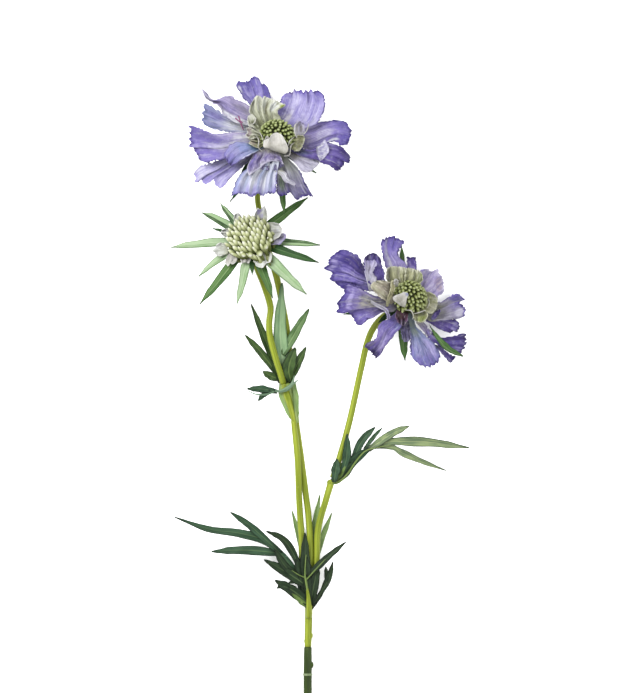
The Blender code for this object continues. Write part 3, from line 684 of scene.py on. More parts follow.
def add_blade(shape, spine, half_width, form=LOBE, base=0.0, fold=0.25, lean=0.0, face=UP, wave=0.25,
              paint=0):
    """Folded pointed blade along a spine, leaning round it by an angle in degrees."""
    spine = [Vector(point) for point in spine]
    seed = spine[-1].x * 0.37 + spine[-1].y * 0.11
    turned = Vector(face).normalized()

    def point_at(across, v):
        u = across * 2.0 - 1.0
        point = smooth(spine, v)
        forward = heading(spine, v)
        side = forward.cross(turned).normalized()
        side = Matrix.Rotation(math.radians(lean), 3, forward) @ side
        normal = side.cross(forward)
        width = half_width * share(form, v) + base * (1.0 - ease(v / 0.35))
        width *= 1.0 + 0.10 * wobble(v * 20.0, u, seed, 3.0)
        lift = fold * abs(u) * width + wave * wobble(v * 24.0, u * 3.0, seed + 2.0, 6.0) * ease(v * 2.0)
        point = point + side * (u * width) + normal * lift
        point.z = max(LOWEST, point.z)
        return point

    shape.grid(point_at, *BLADE_GRID, paint=paint)


def add_bud(shape, tip, along, radius, length, sides=8):
    """Plump bud, narrower at both ends, that points along a direction and ends at a tip."""
    side = along.orthogonal().normalized()
    other = along.cross(side)
    foot = tip - along * length
    rows = len(BUD) - 1

    def point_at(around, v):
        lift, wide = BUD[round(v * rows)]
        turn = math.tau * around
        ring = side * math.cos(turn) + other * math.sin(turn)
        return foot + along * (lift * length) + ring * (wide * radius)

    shape.solid(point_at, sides, rows, foot, tip)


def tubes(name, look, slot, rows, **details):
    """Piece of one or more tubes."""
    shape = Shape()
    for knots in rows:
        add_tube(shape, knots, **details)
    shape.make(name, (look,), slot)


# ---------------------------------------------------------------- petals


def teeth(x, count, seed):
    """Pointed scallops of uneven size, between 0 and 1."""
    turn = math.pi * count * (x + 0.12 * noise.noise(Vector((x * count * 0.6, seed, 0.0))))
    size = 0.65 + 0.35 * noise.noise(Vector((x * count * 0.9, seed * 2.0, 1.0)))
    return size * abs(math.sin(turn)) ** 0.8


class Outline:
    """Flat patch between four lines: root, left edge, tip and right edge."""

    def __init__(self, root, left, tip, right):
        self.left = Line([root[0], *left])
        self.right = Line([root[1], *right])
        self.tip = Line([left[-1], *tip, right[-1]])

    def at(self, u, v):
        """Point at a share across and a share along; the tip's shape fades out towards the root."""
        sides = self.left.at(v).lerp(self.right.at(v), u)
        tip_shape = self.tip.at(u) - self.left.at(1.0).lerp(self.right.at(1.0), u)
        return sides + tip_shape * v ** 1.6


def petal_root(head, start):
    """Two ends of a petal's root, and its height along the head's axis."""
    if len(start) > 2:
        return pairs(start[:4]), start[4]
    azimuth, ring = start
    height = RING_HEIGHT[ring]
    centre = head.plan(head.at(azimuth, PETAL_START, height))
    turn = math.radians(azimuth)
    sideways = Vector((-math.sin(turn), math.cos(turn), 0.0)) * ROOT_WIDTH[ring]
    return (centre + sideways, centre - sideways), height


def petal(name, head, start, left, tip, right, rise, look, seed, folds, spots, cup=0.8, ripple=(4.0, 0.55),
          ruffle=(3.0, 0.5), fray=(12, 1.2), slot="top_petals", back="petal_back", across=52, along=42):
    """Petal inside an outline drawn in plan, from the head's centre.

    start is a pair of azimuth and ring, or the two ends of the root and its height. left and right run
    from the root outwards, and tip joins their ends. rise holds the heights along the head's axis from the
    root on. folds, ripple, ruffle and cup bend the petal out of its plane, and fray cuts its edge into
    small teeth.
    """
    root, height = petal_root(head, start)
    outline = Outline(root, pairs(left), pairs(tip), pairs(right))
    heights = [height, *rise]
    fold_count, fold_depth, fold_phase = folds

    def point_at(u, v):
        spot = outline.at(u, v)
        middle = outline.at(0.5, v)
        forward = (outline.at(0.5, min(1.0, v + 0.03)) - outline.at(0.5, max(0.0, v - 0.03))).normalized()
        side = u * 2.0 - 1.0
        edge = side * side
        spot += forward * (fray[1] * (teeth(u, fray[0], seed) - 0.5) * v ** 9)
        outward = (spot - middle).normalized()
        side_teeth = edge ** 4 * fray[1] * (teeth(v, fray[0], seed + 5.0) - 0.5)
        spot += outward * (side_teeth * ease((v - 0.35) / 0.3))
        grown = ease(v * 1.5)
        height = smooth(heights, v) + cup * edge * ease(v)
        height += fold_depth * math.cos(math.tau * fold_count * u + fold_phase) * grown
        height += ripple[1] * wobble(u * ripple[0], v * 1.6, seed, 1.0) * grown
        height += ripple[1] * 0.6 * wobble(u * ripple[0] * 2.2, v * 4.5, seed + 3.0, 1.0) * grown
        height += ripple[1] * 0.5 * wobble(spot.x, spot.y, seed + 9.0, 1.7) * grown
        height += ruffle[1] * math.sin(math.tau * ruffle[0] * u + seed * 3.0) * v ** 4
        height += ruffle[1] * math.sin(math.tau * ruffle[0] * v + seed) * side * edge * grown
        return head.seen(spot.x, spot.y, height)

    shape = Shape()
    shape.grid(point_at, across, along)
    petal_paint(name + "_paint", look, seed, spots)
    made = shape.make(name, (name + "_paint", back), slot, PETAL_SHEET, backed=True)
    length = outline.at(0.5, 0.9) - outline.at(0.5, 0.1)
    width = outline.at(1.0, 0.5) - outline.at(0.0, 0.5)
    if length.cross(width).z > 0.0:
        made.data.flip_normals()


def petals(prefix, head, rows, **common):
    """Petals from rows of a table; the last entry of a row may hold what is its own."""
    for name, *row in rows:
        own = row.pop() if isinstance(row[-1], dict) else {}
        petal(prefix + name, head, *row, **{**common, **own})


def rims(prefix, head, rows, look="ivory_rim", slot="inner_petals"):
    """Thin rolled edges of petals, each through knots of x, y, height and radius."""
    for name, knots in rows.items():
        line = [(*head.seen(x, y, height), radius * 0.75) for x, y, height, radius in knots]
        tubes(prefix + name, look, slot, (line,), sides=8, step=0.4, ribs=0.15)


# Details that several petals share.
SMALL = {"across": 28, "along": 24}
INNER_LOOK = {"slot": "inner_petals", "back": "cream_back", "across": 36, "along": 30, "fray": (9, 0.7)}

# Petals: name, start, left edge, tip and right edge as x, y, x, y, heights, paint, seed, the folds' count,
# depth and phase, spots with their place, size, colour, strength and perhaps lean, and perhaps more details.
TOP_PETALS = (
    ("rear", (108, "lower"), (-9, 10, -12.4, 17.3, -15.5, 20.2, -16.8, 23.1, -18.5, 25.4), (-18.7, 26.5,
     -17.6, 28.4, -15.5, 28, -13.2, 28.8, -11.6, 30.3, -9.7, 30.6, -8, 29.4, -7.6, 27.3, -5.5, 27.1),
     (-4.5, 12, -2.6, 20.6, -3.2, 22.7, -4, 25.3), (-2, -2.8, -4), "violet", 1, (1.2, 0.8, 0.6),
     ((0.05, 0.92, 0.1, 0.1, "pale", 0.8), (0.42, 0.7, 0.03, 0.4, "dark", 0.8),
     (0.82, 0.75, 0.2, 0.3, "deep", 0.75), (0.6, 0.3, 0.3, 0.2, "deep", 0.6))),
    # rear_right: the grey spot at its base is painted shade.
    ("rear_right", (57, "upper"), (-1.5, 8, -0.4, 13, 1.4, 18, 2.2, 20.6, 3.3, 22.1), (4.9, 22.7, 6.2, 23.1,
     7.7, 23, 8, 24.9, 9, 23.7, 11.3, 24.1, 12.4, 23, 13.5, 24.3, 14.6, 23.2, 15.8, 24.4, 16.8, 23.1,
     17.9, 24.2), (13, 6, 18.8, 8.5, 21.3, 13.1, 22.4, 16.5, 22.3, 20.5, 20, 23.3), (1.6, 2.6, 0.8), "lilac",
     2, (1.6, 0.5, 0.5), ((0.62, 0.9, 0.045, 0.2, "dark", 0.9), (0.05, 0.72, 0.12, 0.3, "violet", 0.7),
     (0.33, 0.65, 0.16, 0.35, "pale", 0.45), (0.25, 0.98, 0.12, 0.07, "rust", 0.7),
     (0.5, 0.22, 0.6, 0.2, "grey", 0.85), (0.3, 0.45, 0.16, 0.1, "bone", 0.5))),
    # right: the grey spot at its base is partly its own grey-violet and partly painted shade.
    ("right", (14, "lower"), (13, 6.5, 19.6, 8.9, 22.1, 9.3, 25, 9.8, 27.5, 10), (30.5, 9.8, 32.1, 9.1,
     33.2, 7.9, 33.7, 6.2, 34.8, 5.6, 34, 4.3, 34.7, 3.1, 33.6, 2, 33.6, 0.9, 33, -0.8, 31.7, -1.6), (12, -3,
     15, -4.5, 18.3, -3.3, 22.5, -0.8, 26.7, 0, 30, -2), (-1, -1.5, -4), "iris", 3, (1.6, 0.6, 0.9),
     ((0.25, 0.93, 0.25, 0.12, "deep", 0.85), (0.75, 0.95, 0.25, 0.08, "deep", 0.8),
     (0.5, 0.24, 0.6, 0.18, "grey", 0.85), (0.86, 0.76, 0.1, 0.09, "white", 0.9),
     (0.5, 0.62, 0.3, 0.14, "pale", 0.6), (0.85, 0.4, 0.2, 0.16, "dark", 0.6))),
    # front_right: the lilac spot is a painted highlight and the slate spot at its base painted shade.
    ("front_right", (-22, "upper"), (14, -4, 18.5, -3, 22.5, -0.8, 25.9, -0.8, 28.4, -2, 30.5, -2.7),
     (31.7, -4.5, 33.4, -6.2, 33.9, -8.5, 33, -10, 31.3, -9.6, 30.9, -11.2, 29.6, -12.9), (13, -7.5,
     18, -8.5, 20.8, -10.2, 23.3, -11.2, 25.9, -12.5, 27.7, -13.9), (2.6, 3.2, 0.6), "royal", 4,
     (1.5, 0.9, 0.2), ((0.3, 0.95, 0.2, 0.1, "night", 0.9), (0.15, 0.74, 0.16, 0.12, "lilac", 0.7),
     (0.55, 0.78, 0.04, 0.2, "night", 0.7, 20), (0.5, 0.25, 0.6, 0.22, "slate", 0.9)), {"cup": -1}),
    ("front_low", (-67, "lower"), (5.8, -8.3, 9.5, -12.1, 11.2, -14.6, 12.5, -17.9, 13.7, -20.4, 15, -22.5),
     (16.9, -25.7, 15.4, -25.2, 13.3, -25.4, 11.2, -26.1, 9.1, -27.1, 7.7, -25, 6.2, -23.4, 4.9, -24.6,
     2, -25.4), (0, -8, -0.1, -14.6, -0.1, -19.6, 0.3, -24.2), (-1.2, -3.5, -6.5), "moss", 5,
     (1.8, 0.8, 1.2), ((0.84, 0.7, 0.1, 0.26, "leaf", 0.75), (0.3, 0.98, 0.4, 0.08, "night", 0.8),
     (0.04, 0.75, 0.1, 0.3, "violet", 0.8), (0.8, 0.98, 0.2, 0.06, "deep", 0.8))),
    # front: the mist and steel spots are painted shade in its folds and the white spots painted highlight on
    # their ridges; the sky spot is its own violet.
    ("front", (-107, "upper"), (1.5, -8, 0.4, -14.6, 0.2, -19.6, -0.1, -23.8), (-1.3, -24.4, -4.3, -24.2,
     -6.3, -25.4, -8.4, -24.7, -11.4, -25.7, -13.5, -24.8, -16, -24.5, -18.9, -24.7), (-9, -7, -12.6, -12.2,
     -15.1, -14.2, -17.2, -16.2, -18.5, -18.8, -19.5, -21.3, -20.7, -25.6), (2.4, 0.6, -2.5), "snow", 6,
     (4.5, 0.9, 0.4), ((0.15, 0.65, 0.05, 0.4, "mist", 0.7), (0.31, 0.6, 0.05, 0.4, "white", 0.9),
     (0.44, 0.62, 0.05, 0.4, "steel", 0.75), (0.6, 0.6, 0.06, 0.4, "white", 0.9),
     (0.74, 0.7, 0.04, 0.3, "mist", 0.7), (0.94, 0.65, 0.08, 0.4, "sky", 0.8)), {"ripple": (4, 0.35)}),
    # left_low: the two narrow violet spots are painted shade in its streaks, and the wide pale spot at its
    # base is painted light against the shade cast there by the petal above.
    ("left_low", (203, "lower"), (-9, -7, -13.9, -10.4, -16, -12.5, -18.5, -14.6, -20.6, -16.7, -22.2, -18.3,
     -23.5, -20.4), (-25.2, -21.7, -26.8, -21.3, -28.3, -19.6, -28.6, -17.6, -30.6, -19.2, -33.3, -19.8,
     -34.4, -17.6, -35.6, -19, -37.5, -18.8, -36.7, -17, -37.9, -15.4), (-14, -4, -24.3, -7.5, -27.7, -9.3,
     -31.9, -10.4, -34.8, -11.6, -36.6, -13.3), (-1.5, -3, -5.5), "powder", 7, (2.5, 0.7, 0.2),
     ((0.52, 0.7, 0.05, 0.35, "violet", 0.75), (0.25, 0.65, 0.05, 0.3, "violet", 0.6),
     (0.8, 0.9, 0.2, 0.14, "pale", 0.8), (0.68, 0.8, 0.03, 0.2, "deep", 0.6),
     (0.5, 0.3, 0.9, 0.3, "pale", 0.85))),
    ("left", (179, "upper"), (-9, -3.5, -16, -5.5, -21, -7.5, -24.3, -8.4, -27.7, -9.2, -31, -9.9,
     -33.5, -9.6), (-35.4, -8.7, -36.2, -6.6, -37.5, -4.5, -38, -3, -40.2, -2.4, -39.1, -0.6, -40.2, 0.9,
     -38.9, 2.3, -40, 3.8, -39.1, 5.3), (-10, 3.6, -19.3, 4, -22.7, 3.7, -25.6, 3.2, -28.5, 3.3, -31.4, 4.3,
     -33.5, 5.4, -35.6, 6.4, -38.1, 6.8, -40.8, 7.4), (2.2, 2.4, -0.5), "plum", 8, (1.3, 0.7, 0.5),
     ((0.78, 0.76, 0.18, 0.26, "dark", 0.75, -20), (0.48, 0.5, 0.18, 0.32, "pale", 0.9, -12),
     (0.2, 0.82, 0.2, 0.2, "violet", 0.75), (0.45, 0.93, 0.1, 0.07, "lilac", 0.7),
     (0.62, 0.3, 0.3, 0.2, "white", 0.6), (0.4, 0.14, 0.6, 0.12, "olive", 0.7))),
    ("left_rear", (152, "lower"), (-9, 3, -17.6, 4.5, -20.6, 4.1, -23.5, 4.7, -26.8, 5.2, -29.8, 6,
     -31.4, 6.8), (-33.3, 8.1, -34.5, 10.6, -33.6, 12.2, -34.5, 13.5, -33, 14.6, -34, 16), (-9, 8,
     -17.6, 9.5, -21.8, 11.5, -25.4, 13.5, -28.5, 15.6, -30.6, 16.9, -32.9, 18), (-1.6, -2.5, -4.5), "frost",
     9, (1.8, 0.5, 0.1), ((0.24, 0.84, 0.2, 0.12, "slate", 0.85), (0.7, 0.8, 0.2, 0.16, "violet", 0.6),
     (0.45, 0.4, 0.6, 0.3, "white", 0.8), (0.1, 0.62, 0.08, 0.1, "steel", 0.6),
     (0.5, 0.98, 0.5, 0.05, "slate", 0.7))),
    ("rear_left", (136, "upper"), (-9, 6, -18.5, 8.5, -21.8, 10.6, -25, 13.1, -26, 15.6, -28.5, 17.3,
     -30.6, 18.5, -32.3, 19.6, -33.7, 22.5), (-34.4, 24.3), (-8, 12, -12.6, 16.5, -15.1, 18.3, -18.5, 19.6,
     -21, 21.3, -23.5, 21.3, -25.6, 20.2, -28, 19, -30, 20, -31.5, 21.9, -33.3, 24), (2.2, 2.8, 0.2),
     "mauve", 10, (1.4, 0.9, 0.9), ((0.66, 0.45, 0.16, 0.16, "smoke", 0.6),
     (0.1, 0.4, 0.2, 0.35, "white", 0.85), (0.35, 0.62, 0.16, 0.12, "lilac", 0.7),
     (0.85, 0.9, 0.2, 0.06, "slate", 0.7), (0.3, 0.88, 0.3, 0.08, "white", 0.7))),
)
TOP_FLAPS = (
    ("pale_lobe", (-35, "lower"), (11.2, -6.4, 15, -6.6, 17.9, -7), (19.6, -9.1, 19.2, -10.8, 17.5, -12.5,
     15.4, -14.2), (6, -7.5, 9.5, -11.2, 11.2, -13.5, 13.3, -14.5), (0, 0.6, -1), "pale", 11, (1.5, 0.5, 0),
     ((0.5, 0.7, 0.04, 0.25, "smoke", 0.7, 10), (0.5, 0.3, 0.6, 0.2, "bone", 0.8)), {"fray": (5, 0.2),
     "across": 32, "along": 24}),
    ("stripe_fold", (18.2, -3, 18.6, -6.4, 3.6), (20.6, -1, 22.1, 0.8), (23.4, -1.6, 24.2, -4.5, 22.9, -6.6,
     21.7, -7.9), (19.2, -7.4, 20, -9.2), (4.6, 4.2), "striped", 12, (3, 0.3, 0), (), {"cup": 0.5,
     "fray": (5, 0.2), "across": 32, "along": 24}),
    ("front_fold", (-97, "upper"), (1.2, -5.2, 2.2, -7.6, 3.3, -11), (1.2, -9.3, -1.7, -9.1, -3.8, -9.6,
     -5.9, -10.6, -7.6, -12.4, -9.7, -13.8), (-6, -2.2, -9.6, -3.2, -10.5, -5, -11.4, -8.3, -12.6, -10.4,
     -13.3, -12.9, -12.5, -16.2), (2.6, 3.6, 3.2), "dusk", 13, (2.2, 0.5, 0.8),
     ((0.72, 0.75, 0.05, 0.25, "dark", 0.8, 12), (0.45, 0.22, 0.8, 0.3, "bone", 0.9),
     (0.9, 0.72, 0.12, 0.25, "violet", 0.8), (0.45, 0.78, 0.04, 0.2, "dark", 0.7, -10),
     (0.2, 0.7, 0.14, 0.16, "smoke", 0.7), (0.58, 0.6, 0.05, 0.2, "white", 0.6, 8)), {"ripple": (6, 0.9),
     "fray": (7, 0.3)}),
    ("front_under", (0.8, -8.4, -6.2, -9.9, 2.4), (3.4, -11.2), (1.2, -12.9, -0.9, -13.8, -4.3, -13.6),
     (-6.9, -12.9), (1.8,), "smoky", 15, (2.5, 0.4, 0), ((0.4, 0.5, 0.3, 0.3, "dark", 0.7),), {"across": 30,
     "along": 16}),
    ("frill", (2.2, -13.4, -0.6, -14.2, 2.4), (4.6, -14.8, 5.4, -17, 8, -18.8), (8.8, -20), (2, -16,
     3.6, -18.7, 5.8, -19.6, 8.2, -20.6), (2.8, 2.4, 1.4), "pale", 14, (0, 0, 0),
     ((0.5, 0.5, 0.3, 0.6, "white", 0.8), (0.55, 0.4, 0.06, 0.4, "smoke", 0.5)), {"cup": -0.5,
     "ruffle": (4, 0.6), "fray": (4, 0.3), "across": 16, "along": 36}),
)
TOP_INNER = (
    ("rear", (118, "inner"), (-7.5, 6, -10.5, 10.5, -12.4, 13.1, -12.2, 16, -10.9, 18.5), (-9.7, 20.6,
     -8, 21.1, -6.6, 20.2), (-3.5, 8, -5.2, 11.5, -5.9, 14.5, -6.2, 16.5, -5.6, 18.6), (3.4, 5, 6), "cream",
     21, (1.7, 0.5, 0.9), ((0.9, 0.6, 0.1, 0.4, "olive", 0.6), (0.4, 0.3, 0.5, 0.2, "olive", 0.6)),
     {"ripple": (4, 0.7)}),
    # rear_lobe: its white spots are partly pale patches and partly painted highlight on its folds.
    ("rear_lobe", (88, "inner"), (-4, 7, -6.2, 11, -6.9, 15, -6.6, 18.5, -5.5, 21.1), (-4.3, 20.4,
     -2.2, 19.6, -0.1, 19, 2, 17.9), (2, 8, 1.8, 11, 0.5, 13.2, 1, 14.6, 2.9, 15.6, 4.2, 16.9), (4, 6, 7),
     "cream", 22, (2.3, 0.6, 0), ((0.93, 0.95, 0.12, 0.14, "lime", 0.95),
     (0.3, 0.65, 0.07, 0.3, "bark", 0.75), (0.62, 0.78, 0.2, 0.2, "white", 0.9),
     (0.5, 0.2, 0.6, 0.2, "olive", 0.7), (0.12, 0.8, 0.1, 0.2, "white", 0.6)), {"ripple": (6, 1)}),
    ("left", (174, "inner"), (-8.4, 1.5, -11, 0.8, -12.8, 1.4), (-14.2, 2.6, -13.2, 3.9, -13.6, 5.8),
     (-8.2, 4.5, -9.8, 6, -11.4, 6.8), (4, 5.2, 5.5), "cream", 23, (2.6, 0.6, 0.2),
     ((0.5, 0.9, 0.4, 0.15, "blush", 0.8),), {"ripple": (7, 1)}),
    ("left_curl", (160, "inner"), (-10, 6, -12.5, 7, -13.2, 8.9), (-13, 11.4, -11.6, 12.3), (-8.4, 7,
     -9.6, 8.5, -9.5, 10.5, -10.6, 12.1), (4.5, 6, 6.6), "cream", 24, (0, 0, 0),
     ((0.55, 0.6, 0.25, 0.25, "forest", 0.85),), {"cup": 1.5, "ripple": (6, 0.9)}),
    ("low_left", (190, "inner"), (-7.5, -3.2, -9.4, -3, -11.2, -2), (-12.6, -1, -11.8, 0.2, -12.8, 1.2),
     (-8, 1.2, -10, 2, -11.8, 2.4), (4, 5, 5.2), "khaki", 25, (3, 0.6, 0.5),
     ((0.4, 0.8, 0.3, 0.2, "blush", 0.6),), {"ripple": (7, 1)}),
    ("front", (3.9, -6.1, -1.2, -4.6, 5.4), (5.2, -5, 5.4, -2.9, 3.8, 0.5), (2.1, 3, -0.1, 3.7, -2, 2.8,
     -3, 1.2), (-3.6, -3.6, -5.8, -3, -5.7, -0.8, -4.7, 0.6), (7.6, 9.8, 11.4), "ivory", 27, (1, 0.3, 0.6),
     ((0.75, 0.5, 0.12, 0.3, "bone", 0.6),), {"fray": (3, 0.15), "cup": -0.6, "ripple": (3, 0.2),
     "ruffle": (2, 0.2)}),
    ("front_lobe", (-4.2, -1.2, -5.8, -2.6, 7.6), (-3, 0.8, -4, 2.3), (-4.6, 1.9), (-6, -0.8, -5, 0.6),
     (9.4, 10.6), "ivory", 29, (0, 0, 0), (), {"fray": (3, 0.15), "cup": 0.2, "ripple": (2, 0.1),
     "ruffle": (1, 0.1)}),
    ("right", (12.6, 3, 9, 2.4, 5), (13.2, 5.6, 12.9, 8), (11.6, 8.9), (8.6, 4.8, 8.9, 7.2, 10.2, 9.3),
     (7, 9), "veil", 28, (0, 0, 0), ((0.4, 0.5, 0.2, 0.3, "bark", 0.7), (0.85, 0.6, 0.15, 0.5, "bone", 0.7)),
     {"fray": (3, 0.15), "cup": 1.6, "ripple": (4, 0.5), "ruffle": (2, 0.4)}),
    ("right_low", (-20, "inner"), (8, 2, 10, 2.6, 12.6, 2.6), (13, 0.5, 12, -2.5), (6.8, -3.5, 8.5, -4.6,
     10.4, -4.8), (3.4, 4.6, 5), "khaki", 30, (3.5, 0.5, 0.5), ((0.5, 0.8, 0.5, 0.2, "bark", 0.7),),
     {"ripple": (7, 1)}),
    # low: the white spot at its edge is a painted highlight on its rim.
    ("low", (210, "inner"), (-8.5, -4.5, -13.5, -7.5, -16, -9.1, -18.5, -10.6), (-20.8, -11.5, -22.2, -9.8),
     (-9.7, -2.2, -13.5, -1.2, -16.8, -0.6, -19.7, -1, -22.2, -2.9, -23.5, -5, -23.9, -7.5), (4, 5, 4),
     "lagoon", 31, (1.2, 0.6, 0.4), ((0.5, 0.3, 0.6, 0.14, "teal", 0.85), (0.6, 0.52, 0.3, 0.14, "sky", 0.7),
     (0.02, 0.7, 0.07, 0.3, "white", 0.7)), {"back": "petal_back", "fray": (12, 1.2), "slot": "top_petals",
     "along": 28}),
)
